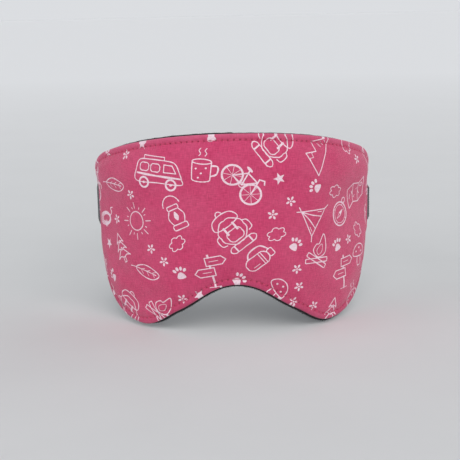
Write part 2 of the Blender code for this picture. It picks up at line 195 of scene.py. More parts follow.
def evenly_spaced(line, spacing, closed=True):
    """Points about one spacing apart along a line."""
    if closed:
        line = np.concatenate([line, line[:1]])
    travelled = lengths_along(line)
    count = max(round(travelled[-1] / spacing), 2)
    wanted = np.linspace(0.0, travelled[-1], count + (not closed), endpoint=not closed)
    return np.stack([np.interp(wanted, travelled, line[:, axis])
                     for axis in range(line.shape[1])], axis=1)


OUTLINE = pattern_outline()
OUTLINE_AT = lengths_along(OUTLINE)
PERIMETER = OUTLINE_AT[-1] + np.linalg.norm(OUTLINE[0] - OUTLINE[-1])


def tree_of(points):
    tree = kdtree.KDTree(len(points))
    for index, point in enumerate(points):
        tree.insert((point[0], point[1], 0.0), index)
    tree.balance()
    return tree


OUTLINE_TREE = tree_of(OUTLINE)


def edge_place(flat):
    """Distance of flat points from the pattern's edge, and how far along the edge they are."""
    nearest = np.array([OUTLINE_TREE.find((x, y, 0.0))[1] for x, y in flat])
    best = np.full(len(flat), 1.0)
    place = np.zeros(len(flat))
    for step in (-1, 0):
        first = (nearest + step) % len(OUTLINE)
        start = OUTLINE[first]
        run = OUTLINE[(first + 1) % len(OUTLINE)] - start
        length = np.linalg.norm(run, axis=1)
        share = np.clip(((flat - start) * run).sum(axis=1) / length ** 2, 0.0, 1.0)
        distance = np.linalg.norm(flat - start - share[:, None] * run, axis=1)
        place = np.where(distance < best, OUTLINE_AT[first] + share * length, place)
        best = np.minimum(best, distance)
    return best, place


ELLIPSE_ANGLES = np.linspace(-1.7, 1.7, 2001)


def ellipse_angle(arc_length, half_width):
    speed = np.hypot(half_width * np.cos(ELLIPSE_ANGLES), FRONT_DEPTH * np.sin(ELLIPSE_ANGLES))
    steps = (speed[1:] + speed[:-1]) / 2 * np.diff(ELLIPSE_ANGLES)
    travelled = np.concatenate([[0.0], np.cumsum(steps)])
    return np.interp(arc_length, travelled - travelled[len(travelled) // 2], ELLIPSE_ANGLES)


def wrap(flat, out):
    """Worn places of flat points, at the given distances outside the base surface."""
    across, up = flat[..., 0], flat[..., 1]
    flare = smooth_step((up - FLARE_FROM) / (FLARE_TO - FLARE_FROM))
    narrow = ellipse_angle(across, HALF_WIDTH)
    wide = ellipse_angle(across, HALF_WIDTH + CORNER_FLARE)
    angle = narrow + flare * (wide - narrow)
    width = HALF_WIDTH + CORNER_FLARE * flare
    normal = unit(np.stack([FRONT_DEPTH * np.sin(angle), -width * np.cos(angle)], axis=-1))
    x = width * np.sin(angle) + out * normal[..., 0]
    y = -FRONT_DEPTH * np.cos(angle) + out * normal[..., 1]
    return np.stack([x, y, up], axis=-1)


def side_window(flat, edge, ramp):
    """1 over what is sewn into the side seams, and 0 away from it."""
    across, up = flat[..., 0], flat[..., 1]
    near_end = smooth_step((abs(across) - BULGE_FROM) / BULGE_RAMP)
    return near_end * smooth_step((STRAP_WIDTH / 2 + edge - abs(up)) / ramp)


def seam_bulge(flat):
    single = LINING_OUTER + STRAP_THICKNESS + 2 * GAP + SEAM_EASE + COTTON
    double = single + STRAP_THICKNESS + GAP
    height = np.where(flat[..., 0] > 0.0, double, single)
    return height * side_window(flat, BULGE_EDGE, BULGE_EDGE_RAMP)


STITCHES = evenly_spaced(pattern_outline(STITCH_INSET), STITCH_PITCH)
STITCH_TREE = tree_of(STITCHES)


def hole_distance(flat):
    return np.array([STITCH_TREE.find((x, y, 0.0))[2] for x, y in flat])


def unevenness(place, parts):
    """Sum of waves along the edge, about -1 to 1, the same at both ends of the edge."""
    wave = np.zeros_like(place)
    for turns, phase in parts:
        wave += np.sin(2 * math.pi * turns * place / PERIMETER + phase)
    return wave / len(parts)


PUCKERS = ((67, 0.3), (83, 1.9), (101, 4.1), (58, 2.7))
SWELL = {"places": np.zeros((1, 2)), "lift": np.zeros(1)}


def swelling(flat):
    """How far the simulated puffing moves the cotton at flat points."""
    found = np.zeros(len(flat))
    for start in range(0, len(flat), 2000):
        part = flat[start:start + 2000]
        gap = ((part[:, None] - SWELL["places"]) ** 2).sum(axis=-1)
        weight = np.exp(-gap / (2 * SWELL_BLUR ** 2)) + 1e-30
        found[start:start + 2000] = (weight * SWELL["lift"]).sum(axis=1) / weight.sum(axis=1)
    return found


def padding(flat, distance):
    """The pad's height over its sewn border, without seams or wrinkles."""
    inside = distance - STITCH_INSET
    pad = (PAD_EDGE * (1.0 - np.exp(-np.clip(inside, 0.0, None) / PAD_EDGE_RISE))
           + PAD_CROWN * smooth_step(inside / PAD_CROWN_RISE))
    bulge = seam_bulge(flat)
    return (pad + bulge + np.sqrt((pad - bulge) ** 2 + SEAM_BLEND ** 2) - SEAM_BLEND) / 2


def ridge(distance, at, width):
    """1 at one distance, and almost 0 from two widths away on."""
    return np.exp(-((distance - at) / width) ** 2)


def cotton_out(flat, holes=True):
    """Distance of the cotton's outer face outside the base surface."""
    distance, place = edge_place(flat)
    out = padding(flat, distance) + WELT * ridge(distance, WELT_AT, WELT_WIDTH)
    out -= GROOVE * ridge(distance, STITCH_INSET, GROOVE_WIDTH)
    out += PUCKER * unevenness(place, PUCKERS) * ridge(distance, PUCKER_AT, PUCKER_WIDTH)
    out += swelling(flat) * smooth_step((distance - STITCH_INSET) / SWELL_RISE)
    if holes:
        out -= HOLE * ridge(hole_distance(flat), 0.0, HOLE_RADIUS)
    return out


def surface(flat, out_of):
    """Worn places and outward normals of flat points on a surface."""
    step = 0.00006
    places = wrap(flat, out_of(flat))
    sideways = wrap(flat + (step, 0.0), out_of(flat + (step, 0.0))) - places
    upwards = wrap(flat + (0.0, step), out_of(flat + (0.0, step))) - places
    return places, unit(np.cross(sideways, upwards))


# Print, drawn in millimetres on the flat pattern: plain outdoor things, tossed over the cloth

PEN = 0.58
THIN_PEN = 0.34
BOLD_PEN = 1.15
TOSS_SEED = 8
TOSS_TRIES = 500
TOSS_TURN = 65.0
QUADS = []
FILLS = []


def turned(points, angle):
    c, s = math.cos(math.radians(angle)), math.sin(math.radians(angle))
    return np.array(points, float) @ np.array([[c, s], [-s, c]])


def rounded(points, closed=False, steps=5):
    """Smooth line through a few points."""
    points = np.array(points, float)
    if closed:
        points = np.concatenate([points[-1:], points, points[:2]])
    else:
        points = np.concatenate([2 * points[:1] - points[1:2], points, 2 * points[-1:] - points[-2:-1]])
    t = np.linspace(0.0, 1.0, steps, endpoint=False)[:, None]
    found = []
    for a, b, c, d in zip(points, points[1:], points[2:], points[3:]):
        found.append(0.5 * (2 * b + (c - a) * t + (2 * a - 5 * b + 4 * c - d) * t ** 2
                            + (3 * b - a - 3 * c + d) * t ** 3))
    return np.concatenate(found if closed else [*found, points[-2:-1]])


def line(points, width=PEN, closed=False):
    """Straight strokes between points."""
    points = [np.array(point, float) for point in points]
    for here, there in zip(points, points[1:] + points[:1] * closed):
        length = np.linalg.norm(there - here)
        along = (there - here) / length
        side = np.array([-along[1], along[0]]) * width / 2
        tip = along * width * 0.35
        stops = np.linspace(here - tip, there + tip, max(round(length / 1.3), 1) + 1)
        for start, end in zip(stops, stops[1:]):
            QUADS.append([start + side, start - side, end - side, end + side])


def curve(points, width=PEN, closed=False, steps=5, wobble=0.2):
    """Hand-drawn stroke whose width changes a little along it."""
    track = rounded(points, closed, steps)
    if closed:
        along = np.roll(track, -1, axis=0) - np.roll(track, 1, axis=0)
        track, along = np.concatenate([track, track[:1]]), np.concatenate([along, along[:1]])
    else:
        along = np.gradient(track, axis=0)
    along = unit(along)
    pressure = 1.0 + wobble * np.sin(1.3 * np.arange(len(track)) + track[0, 0])
    pressure[-1] = pressure[0] if closed else pressure[-1]
    side = np.stack([-along[:, 1], along[:, 0]], axis=1) * width / 2 * pressure[:, None]
    left, right = track + side, track - side
    for index in range(len(track) - 1):
        QUADS.append([left[index], right[index], right[index + 1], left[index + 1]])


def fill(points, steps=4):
    FILLS.append(rounded(points, True, steps) if steps else np.array(points, float))


def oval(centre, across, up, turn=0.0, count=10, first=0.0, last=360.0):
    angles = np.radians(np.linspace(first, last, count, endpoint=last - first < 360.0))
    shape = np.stack([across * np.cos(angles), up * np.sin(angles)], axis=1)
    return turned(shape, turn) + np.array(centre)


def ring(centre, across, up, width=PEN, count=12):
    curve(oval(centre, across, up, 0.0, count), width, True, 3, 0.04)


def dot(centre, size=0.7):
    fill(oval(centre, size, size * 0.85, 20.0, 6), 2)


def box(centre, across, up, turn=0.0, corner=0.25):
    """Box with rounded corners."""
    a, u = across / 2, up / 2
    c = corner * min(across, up)
    shape = [(a - c, u), (0.0, u), (c - a, u), (-a, u - c), (-a, 0.0), (-a, c - u), (c - a, -u), (0.0, -u),
             (a - c, -u), (a, c - u), (a, 0.0), (a, u - c)]
    curve(turned(shape, turn) + np.array(centre), PEN, True, 2)


def mirrored(stroke, points, width=PEN):
    """The same stroke on the right and on the left."""
    for side in (1, -1):
        stroke(np.array(points, float) * (side, 1), width)


def tent():
    line([(-9, -6), (0, 8), (9, -6)], closed=True)
    mirrored(curve, [(0, 8), (1.5, 1), (4, -6)])
    mirrored(line, [(0, 8), (1.5, 10.5)])
    mirrored(line, [(9, -6), (12, -7.5)])
    mirrored(line, [(5, -2), (6.5, -4.5)], THIN_PEN)


def pine():
    for tier in range(3):
        low, half = 2.0 - 4.5 * tier, 3.5 + 1.5 * tier
        line([(-half, low), (0, low + 6), (half, low)])
        curve([(-half, low), (-half / 2, low + 1), (0, low), (half / 2, low + 1), (half, low)])
    line([(-1, -7), (-1, -10), (1, -10), (1, -7)])


def mountains():
    line([(-12, -6), (-4, 7), (0, 1), (4, 5), (12, -6)], closed=True)
    line([(-7, 2), (-5.5, 3.5), (-4, 1.5), (-2.5, 3.5), (-1.5, 3)], THIN_PEN)
    for step in range(3):
        line([(5 + 2 * step, 1 - 2 * step), (4 + 2 * step, -2 - 1.5 * step)], THIN_PEN)


def campfire():
    for tilt in (-16, 16):
        box((0, -6), 16, 2.6, tilt)
    curve([(0, 10), (4, 4), (4.5, -1), (0, -4), (-4.5, -1), (-3.5, 3), (-1.5, 4)], closed=True)
    curve([(0.5, 4), (2, 0), (0, -2.5), (-2, 0)], THIN_PEN, True)


def mug():
    ring((0, 5), 5.5, 1.4)
    mirrored(line, [(5.5, 5), (5, -5)])
    curve(oval((0, -5), 5, 1.3, 0, 7, 180, 360))
    curve([(5.4, 3), (9, 2.5), (8.5, -1.5), (5.2, -3)], 0.9)
    for place in (-2, 1.5):
        curve([(place, 8), (place + 1, 9.5), (place, 11), (place + 1, 12.5)], 0.5)
    for place in ((-3, 1), (0, -1.5), (2.5, 1.5), (-1.5, -4)):
        dot(place, 0.6)


def lantern():
    box((0, -7), 9, 3)
    box((0, 4.5), 7, 2.4)
    mirrored(curve, [(3.4, -5.4), (5, -1), (3, 3.2)])
    curve(oval((0, 5), 5.5, 6.5, 0, 9, 10, 170))
    fill([(0, 2), (1.4, -1), (0, -3.4), (-1.4, -1)])


def signpost():
    for low, high in ((-11, -4), (1, 2.5), (7.5, 9)):
        line([(0, low), (0, high)], BOLD_PEN)
    for side, high in ((1, 7.5), (-1, 1)):
        line([(-2 * side, high), (7 * side, high), (9.5 * side, high - 2.5), (7 * side, high - 5),
              (-2 * side, high - 5)], closed=True)
        line([(0, high - 2.5), (5 * side, high - 2.5)], THIN_PEN)
    line([(-3.5, -11), (3.5, -11)], THIN_PEN)


def bicycle():
    for hub in (-7.5, 7.5):
        ring((hub, -3), 5.6, 5.6, 1.1, 18)
        for angle in range(0, 360, 45):
            spoke = turned([(5, 0)], angle + hub)[0]
            line([spoke * 0.15 + (hub, -3), spoke + (hub, -3)], 0.24)
    line([(-7.5, -3), (-2.5, 4), (5, 4), (0, -3)], 0.75, True)
    line([(-3, 5.5), (0, -3)], 0.75)
    line([(7.5, -3), (4.5, 6), (7, 7.5), (8.5, 6)], 0.75)
    fill(oval((-3.5, 6), 2.2, 0.8, 0, 8), 2)
    ring((0, -3), 1.5, 1.5, 0.5, 8)


def rucksack():
    box((0, -2), 15, 15, 0, 0.3)
    curve([(-7.5, 3), (-6, 8), (0, 9.5), (6, 8), (7.5, 3), (0, 1.5)], closed=True)
    box((0, -4.5), 9, 6.5)
    mirrored(line, [(3, 2), (3, -2.5)], BOLD_PEN)
    mirrored(curve, [(7.5, 0), (10, -1.5), (10, -6), (7.3, -7)])
    curve(oval((0, 9.5), 1.8, 2.2, 0, 7, 0, 180))
    box((0, -11.5), 17, 4, 0, 0.45)
    mirrored(line, [(5, -9.6), (5, -13.4)], 0.9)


def compass():
    ring((0, 0), 7, 7, 0.8, 18)
    ring((0, 0), 5.4, 5.4, THIN_PEN, 16)
    ring((0, 8.8), 1.6, 1.6, PEN, 8)
    fill(turned([(0, 4.4), (1.3, 0), (-1.3, 0)], -25), 0)
    line(turned([(1, 0), (0, -4), (-1, 0)], -25), THIN_PEN)
    for angle in range(0, 360, 90):
        line(turned([(5.6, 0), (6.8, 0)], angle), THIN_PEN)


def flask():
    box((0, -2), 7.5, 14, 0, 0.3)
    box((0, 6.8), 4.5, 3.2, 0, 0.2)
    curve([(-2.3, 7), (-7, 4), (-7, -3), (-3.8, -6)], 0.8)
    for height in (2, 0.5):
        line([(-3.7, height), (3.7, height)], 0.5)
    line([(2, -2), (2, -6)], THIN_PEN)


def folded_map():
    line([(-9, 5), (-3, 7), (3, 5), (9, 7), (9, -5), (3, -7), (-3, -5), (-9, -7)], closed=True)
    line([(-3, 7), (-3, -5)], 0.45)
    line([(3, 5), (3, -7)], 0.45)
    for step in range(5):
        x = -7 + 2.6 * step
        line([(x, 2.5 * math.sin(x)), (x + 1.2, 2.5 * math.sin(x + 1.2))], 0.5)
    ring((6, 3), 1.2, 1.2, 0.5, 7)


def van():
    curve([(-14, -5), (-14.5, 2), (-13, 7), (-6, 8), (6, 8), (11, 6.5), (14, 1), (15, -2), (14.5, -5),
           (0, -5)], closed=True)
    for place in (-9, -1.5):
        box((place, 3.5), 6, 4.5)
    line([(4, 5.8), (9, 5.6), (11.5, 1.4), (4, 1.4)], closed=True)
    curve([(-14, -0.5), (0, -1), (14.5, -1.5)], BOLD_PEN)
    for place in (-8.5, 8.5):
        ring((place, -5.5), 3, 3, 1.1, 12)
        dot((place, -5.5), 0.9)
    line([(-10, 8.2), (-10, 10), (4, 10), (4, 8.4)], 0.5)


def leaf():
    curve([(-8, -3), (-3, 2.5), (4, 4), (9, 3), (6, -2), (-2, -4.5)], closed=True)
    curve([(-12, -5), (-8, -3), (0, 0), (7, 2)], 0.5)
    for place in (-4, 0, 4):
        line([(place, 0.4 * place), (place + 2, 0.4 * place + 2)], THIN_PEN)
        line([(place, 0.4 * place), (place + 2.5, 0.4 * place - 1.5)], THIN_PEN)


def mushroom():
    curve([(-6.5, 0), (-5, 4.5), (0, 6.5), (5, 4.5), (6.5, 0), (0, -1.2)], closed=True)
    curve([(-1.8, -1), (-2.2, -6), (0, -7), (2.2, -6), (1.8, -1)])
    for place in ((-3, 2), (0.5, 4), (3, 1.5)):
        dot(place)


def cord_coil():
    for step in range(3):
        ring((0.5 * step, 0), 7 - step, 4 - 0.7 * step, 0.7, 14)
    for place in (-1, 0, 1):
        line([(place, -5), (place, -1.4)], 0.6)
    curve([(6.5, 1), (9, 3), (8, 5.5), (10.5, 6)], 0.7)


def sun():
    ring((0, 0), 5.5, 5.5, PEN, 14)
    for ray in range(16):
        line(turned([(7.5, 0), (11 - 2.5 * (ray % 2), 0)], 22.5 * ray + 4 * math.sin(2 * ray)), 0.5)


def cloud():
    """Closed line of round lobes."""
    steps = np.arange(42)
    angles = 2 * math.pi * steps / len(steps)
    reach = 0.72 + 0.28 * np.abs(np.sin(3 * angles))
    shape = np.stack([5.6 * reach * np.cos(angles), 3.8 * reach * np.sin(angles)], axis=1)
    curve(shape, 0.5, True, 2, 0.1)


def paw():
    fill([(-2.6, -1.4), (-1.5, 1.2), (0, 2), (1.5, 1.2), (2.6, -1.4), (0, -2.2)])
    for toe in range(4):
        angle = 45 + 30 * toe
        fill(oval(turned([(4.3, 0)], angle)[0], 1.25, 0.85, angle, 6), 2)


def star():
    fill([turned([(3.6 if tip % 2 else 1.5, 0)], 36 * tip)[0] for tip in range(10)], 0)


def flower():
    for petal in range(5):
        fill(oval(turned([(1.9, 0)], 72 * petal)[0], 1.1, 0.65, 72 * petal, 6), 2)
    dot((0, 0), 0.6)


# Each thing, how far it reaches from its middle, and how many there are at most.
MOTIFS = (
    (van, 15.0, 1), (bicycle, 13.0, 2), (rucksack, 12.5, 3), (sun, 11.0, 1), (tent, 11.0, 2),
    (signpost, 10.5, 2), (mountains, 11.0, 1), (folded_map, 10.0, 2), (lantern, 10.0, 2), (campfire, 10.0, 2),
    (pine, 10.0, 2), (flask, 9.0, 2), (mug, 9.5, 2), (compass, 8.5, 2), (leaf, 10.0, 2), (cord_coil, 9.0, 1),
    (mushroom, 7.5, 2), (cloud, 6.2, 5), (paw, 5.6, 10), (star, 4.6, 4), (flower, 4.2, 16),
)


def stamp(draw, at, turn):
    """Draw a motif round the origin, then turn it and move it to its place."""
    starts = len(QUADS), len(FILLS)
    draw()
    for shapes, start in zip((QUADS, FILLS), starts):
        shapes[start:] = [turned(shape, turn) + at for shape in shapes[start:]]


def draw_print():
    """Each thing in turn goes where the cloth is emptiest, as long as there is room for it."""
    rng = np.random.default_rng(TOSS_SEED)
    reach_of_cloth = np.array(PATTERN_SIZE) / MM / 2
    placed, reaches = np.zeros((0, 2)), np.zeros(0)
    for motif, reach, count in MOTIFS:
        for _ in range(count):
            tries = rng.uniform(-reach_of_cloth, reach_of_cloth, (TOSS_TRIES, 2))
            turn = rng.uniform(-TOSS_TURN, TOSS_TURN)
            tries = tries[within(tries * MM)]
            gaps = np.linalg.norm(tries[:, None] - placed, axis=2) - reaches
            room = gaps.min(axis=1, initial=reach)
            best = int(room.argmax())
            if room[best] < reach:
                break
            stamp(motif, tries[best], turn)
            placed, reaches = np.concatenate([placed, tries[best:best + 1]]), np.append(reaches, reach)


# Meshes


def put_mesh(name, points, faces, materials=(), slots=None, flat=None, normals=None):
    mesh = bpy.data.meshes.new(name)
    mesh.from_pydata([tuple(point) for point in points], [], faces)
    for made in materials:
        mesh.materials.append(made)
    if slots is not None:
        mesh.polygons.foreach_set("material_index", np.array(slots, np.int32))
    mesh.shade_smooth()
    if flat is not None:
        corners = np.zeros(len(mesh.loops), np.int32)
        mesh.loops.foreach_get("vertex_index", corners)
        layer = mesh.uv_layers.new(name="cloth")
        layer.data.foreach_set("uv", np.array(flat, np.float32)[corners].ravel())
    if normals is not None:
        mesh.normals_split_custom_set_from_vertices([tuple(normal) for normal in normals])
    obj = bpy.data.objects.new(name, mesh)
    bpy.context.scene.collection.objects.link(obj)
    return obj


def piece(obj, body, slot, *nodes):
    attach(obj, body)
    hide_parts(*nodes)
    return obj


LEAST_DRAWN_AREA = 1e-4
SAME_POINT = 1e-5
GRID_LOW = (-0.122, -0.061)
GRID_HIGH = (0.122, 0.058)


def signed_area(shape):
    following = np.roll(shape, -1, axis=0)
    return (shape[:, 0] * following[:, 1] - shape[:, 1] * following[:, 0]).sum() / 2


def triangulate(outline, inside, quads=(), fills=()):
    """Triangles that fill a flat outline. The last result says which of them lie in a quad or fill.

    Outline and inside points are in metres, quads and fills in millimetres, as they are drawn.
    """
    points = [Vector(point) for point in outline / MM]
    faces = [list(range(len(points)))]
    points += [Vector(point) for point in inside / MM]
    halves = [quad[corners] for quad in quads for corners in ([0, 1, 2], [0, 2, 3])]
    for shape in [*halves, *fills]:
        area = signed_area(shape)
        if abs(area) > LEAST_DRAWN_AREA:
            faces.append(list(range(len(points), len(points) + len(shape))))
            points += [Vector(point) for point in (shape if area > 0.0 else shape[::-1])]
    found = geometry.delaunay_2d_cdt(points, [], faces, 0, SAME_POINT)
    places = np.array([tuple(point) for point in found[0]]) * MM
    kept, inked = [], []
    for triangle, sources in zip(found[2], found[5]):
        if 0 in sources:
            kept.append(list(triangle))
            inked.append(any(source > 0 for source in sources))
    used = sorted({index for triangle in kept for index in triangle})
    order = {index: place for place, index in enumerate(used)}
    return places[used], [[order[index] for index in triangle] for triangle in kept], inked


def rim_of(faces):
    """Points round the edge of a sheet in order, and the face at each of its edges."""
    owner = {}
    for number, face in enumerate(faces):
        for here, there in zip(face, face[1:] + face[:1]):
            owner[(here, there)] = number
    after = {here: (there, number) for (here, there), number in owner.items()
             if (there, here) not in owner}
    start = next(iter(after))
    rim, beside = [start], [after[start][1]]
    while after[rim[-1]][0] != start:
        rim.append(after[rim[-1]][0])
        beside.append(after[rim[-1]][1])
    return rim, beside


def hexagonal_grid(spacing, margin):
    """Flat points inside the pattern, at least a margin from its edge."""
    rows = []
    for row, up in enumerate(np.arange(GRID_LOW[1], GRID_HIGH[1], spacing * math.sqrt(3) / 2)):
        across = np.arange(GRID_LOW[0] + spacing / 2 * (row % 2), GRID_HIGH[0], spacing)
        rows.append(np.stack([across, np.full(len(across), up)], axis=1))
    points = np.concatenate(rows)
    return points[within(points) & (edge_place(points)[0] > margin)]


def within(points):
    """Which flat points are inside the pattern."""
    found = np.zeros(len(points), bool)
    for (x0, y0), (x1, y1) in zip(OUTLINE, np.roll(OUTLINE, -1, axis=0)):
        if y0 == y1:
            continue
        crosses = (points[:, 1] >= min(y0, y1)) & (points[:, 1] < max(y0, y1))
        found ^= crosses & (points[:, 0] < x0 + (points[:, 1] - y0) * (x1 - x0) / (y1 - y0))
    return found


def away_from(points, others, distance):
    tree = tree_of(others)
    return points[[tree.find((x, y, 0.0))[2] > distance for x, y in points]]


def outwards_of(rim):
    """Unit directions out of a flat loop that runs anticlockwise."""
    along = unit(np.roll(rim, -2, axis=0) - np.roll(rim, 2, axis=0))
    return np.stack([along[:, 1], -along[:, 0]], axis=1)


def roll_rings(rim, profile):
    """Rings of points, normals and flat places round a sheet's edge.

    The profile gives, for each ring, how far beyond the rim it lies, how far outside the base
    surface (which may differ along the rim), the two parts of its normal, and how much cloth lies
    between it and the rim.
    """
    outward = outwards_of(rim)
    base = wrap(rim, np.zeros(len(rim)))
    lifted = unit(wrap(rim, np.full(len(rim), 0.001)) - base)
    sideways = unit(wrap(rim + outward * 0.0005, np.zeros(len(rim))) - base)
    rings = []
    for beyond, out, side_part, out_part, unrolled in profile:
        points = wrap(rim + outward * beyond, out)
        leaning = sideways * side_part + lifted * out_part
        rings.append((points, unit(leaning), rim + outward * unrolled))
    return rings


def stack_rings(points, normals, flat, rim, rings):
    """Adds rings of points round a sheet. The last result is each ring's points, from the rim on."""
    loops = [rim]
    count = len(points)
    for ring_points, _, _ in rings:
        loops.append(list(range(count, count + len(ring_points))))
        count += len(ring_points)
    ring_points, ring_normals, ring_flat = zip(*rings)
    return (np.concatenate([points, *ring_points]), np.concatenate([normals, *ring_normals]),
            np.concatenate([flat, *ring_flat]), loops)


def bridge(first, second):
    """Quads between two loops of as many points."""
    return [[a, b, c, d] for a, b, c, d in
            zip(first, second, second[1:] + second[:1], first[1:] + first[:1])]


def reversed_all(faces):
    return [face[::-1] for face in faces]


def offset_all(faces, count):
    return [[count + index for index in face] for face in faces]


def doubled(faces, count):
    """A sheet's faces, and those of its second layer, which starts a count of points later."""
    return faces + offset_all(reversed_all(faces), count)


def holes_and_rings(*rings):
    """The stitch holes, and points round each of them at the given radii and counts."""
    found = [STITCHES]
    for radius, count in rings:
        for angle in np.arange(count) * 2 * math.pi / count:
            found.append(STITCHES + radius * np.array([math.cos(angle), math.sin(angle)]))
    return np.concatenate(found)


HOLE_RINGS = ((0.0003, 6), (0.00065, 8), (0.0011, 8))
INK_CLEAR = 0.00015
TAB_ROOM = 0.00285
STRAP_ROOM = 0.00155
ROOM_EDGE = 0.003
ROOM_RAMP = 0.0025
ROLL_LEAST = 0.00045


def printed_sheet():
    """Flat cloth with the print's outlines in it."""
    draw_print()
    outline = evenly_spaced(pattern_outline(ROLL), OUTLINE_SPACING)[::-1]
    drawn = np.concatenate([*QUADS, *FILLS]) * MM
    holes = holes_and_rings(*HOLE_RINGS)
    grid = hexagonal_grid(GRID, ROLL + GRID * 0.5)
    grid = away_from(away_from(grid, holes, GRID * 0.45), drawn, GRID * 0.4)
    inside = np.concatenate([grid, away_from(holes, drawn, INK_CLEAR)])
    return triangulate(outline, inside, QUADS, FILLS)


def cotton_roll(rim):
    """Rings that turn the cotton's edge over to the lining, over what is sewn into the side seams."""
    top = cotton_out(rim)
    room = np.where(rim[:, 0] > 0.0, TAB_ROOM, STRAP_ROOM)
    low = LINING_OUTER - 0.0001 + room * side_window(rim, ROOM_EDGE, ROOM_RAMP)
    half = np.maximum((top - low) / 2, ROLL_LEAST)
    profile = []
    for angle in np.radians([22, 45, 68, 90, 115, 140, 165]):
        profile.append((ROLL * math.sin(angle), top - half + half * math.cos(angle),
                        math.sin(angle), math.cos(angle), ROLL * angle))
    return roll_rings(rim, profile)


def make_front_cloth(cotton, ink):
    """Printed front: a sheet with a rolled edge, closed by a second layer a cloth's thickness inside."""
    flat, faces, inked = printed_sheet()
    points, normals = surface(flat, cotton_out)
    rim, beside = rim_of(faces)
    rings = cotton_roll(flat[rim])
    on_top = len(points)
    points, normals, flat, loops = stack_rings(points, normals, flat, rim, rings)
    for first, second in zip(loops, loops[1:]):
        faces += bridge(first, second)
    slots = [int(wet) for wet in inked] + [int(inked[face]) for face in beside] * len(rings)
    count = len(points)
    faces = doubled(faces, count)
    faces += bridge(loops[-1], [count + index for index in loops[-1]])
    slots += [0] * (len(faces) - len(slots))
    obj = put_mesh("front_cloth", np.concatenate([points, points - normals * CLOTH]), faces,
                   (cotton, ink), slots, np.concatenate([flat, flat]),
                   np.concatenate([normals, -normals]))
    # Distance from the edge, zero on the rolled edge: the mask of the border's painted highlight and painted
    # shade.
    distance = edge_place(flat)[0]
    distance[on_top:] = 0.0
    # Nearness to the stitch holes, the mask of the painted shade in them.
    nearness = ridge(hole_distance(flat), 0.0, HOLE_SHADE_REACH)
    for name, values in (("edge_distance", distance), ("hole_nearness", nearness)):
        attribute = obj.data.attributes.new(name, "FLOAT", "POINT")
        attribute.data.foreach_set("value", np.concatenate([values, values]).astype(np.float32))
    piece(obj, "mask", "printed_cotton", "front_panel")


def lining_reach(place):
    """How far the lining shows beyond the cotton, along the edge."""
    middle = PERIMETER / 2
    from_notch = place - middle
    notch = smooth_step((from_notch + 0.104) / 0.02) * smooth_step((0.070 - from_notch) / 0.02)
    top = smooth_step((0.10 - np.minimum(place, PERIMETER - place)) / 0.04)
    left_top = top * smooth_step((place - middle) / 0.01)
    waver = unevenness(place, ((31, 0.4), (53, 2.2), (97, 5.0)))
    return (REACH_LEAST + REACH_AT_NOTCH * notch + REACH_TOP_LEFT * left_top + REACH_AT_TOP * top
            + REACH_WAVER * waver)


def fleece_out(flat):
    """Distance of the lining's face outside the base surface: a soft pad, seam dimples and creases."""
    distance, place = edge_place(flat)
    inside = distance - STITCH_INSET
    pad = LINING_PAD * (1.0 - np.exp(-np.clip(inside, 0.0, None) / LINING_PAD_RISE))
    groove = ridge(inside, 0.0, LINING_GROOVE_WIDTH)
    holes = ridge(hole_distance(flat), 0.0, LINING_HOLE)
    x, y = flat[:, 0] / MM, flat[:, 1] / MM
    creases = (np.sin(0.43 * x + 0.9 * np.sin(0.07 * y + 1.0)) * np.sin(0.045 * y + 0.021 * x + 0.6)
               + 0.6 * np.sin(0.29 * x - 1.3 * np.sin(0.06 * y)) * np.cos(0.05 * y + 0.3))
    lumps = np.sin(0.9 * x + 1.3 * np.sin(0.31 * y)) * np.sin(0.83 * y + 1.1 * np.sin(0.37 * x))
    puckers = unevenness(place, PUCKERS) * ridge(inside, 0.001, 0.003)
    return (LINING_INNER - pad + LINING_GROOVE * groove + LINING_DIMPLE * holes + LUMP * lumps
            + LINING_PUCKER * puckers + CREASE * creases * smooth_step((inside - 0.002) / 0.012))


LINING_THICKNESS = LINING_OUTER - LINING_INNER
LINING_GRID = 0.0022
LINING_MARGIN = 0.0026
LINING_HOLE_CLEAR = 0.0009
HIDDEN_GRID = 0.006
HIDDEN_MARGIN = 0.004


def fleece_sheet():
    """Flat lining, with the stitch holes in it."""
    edge = evenly_spaced(OUTLINE, OUTLINE_SPACING)[::-1]
    reach = lining_reach(edge_place(edge)[1])
    outline = edge + outwards_of(edge) * (reach - LINING_THICKNESS / 2)[:, None]
    holes = holes_and_rings((LINING_HOLE, 6))
    grid = away_from(hexagonal_grid(LINING_GRID, LINING_MARGIN), holes, LINING_HOLE_CLEAR)
    return triangulate(outline, np.concatenate([grid, holes]))[:2]


def fleece_roll(rim):
    """Rings that round off the fleece's edge."""
    half = LINING_THICKNESS / 2
    face = fleece_out(rim)
    profile = []
    for angle in np.radians([30, 60, 90, 120, 150]):
        profile.append((half * math.sin(angle), face + half - half * math.cos(angle),
                        math.sin(angle), -math.cos(angle), half * angle))
    return roll_rings(rim, profile)


def hidden_side(rim):
    """Coarse sheet for the side on the wadding, and its edge points, in the order of the rim."""
    flat, faces, _ = triangulate(rim, hexagonal_grid(HIDDEN_GRID, HIDDEN_MARGIN))
    points, normals = surface(flat, lambda places: fleece_out(places) + LINING_THICKNESS)
    loop = rim_of(faces)[0]
    first = int(np.argmin(np.linalg.norm(flat[loop] - rim[0], axis=1)))
    return points, normals, flat, faces, loop[first:] + loop[:first]


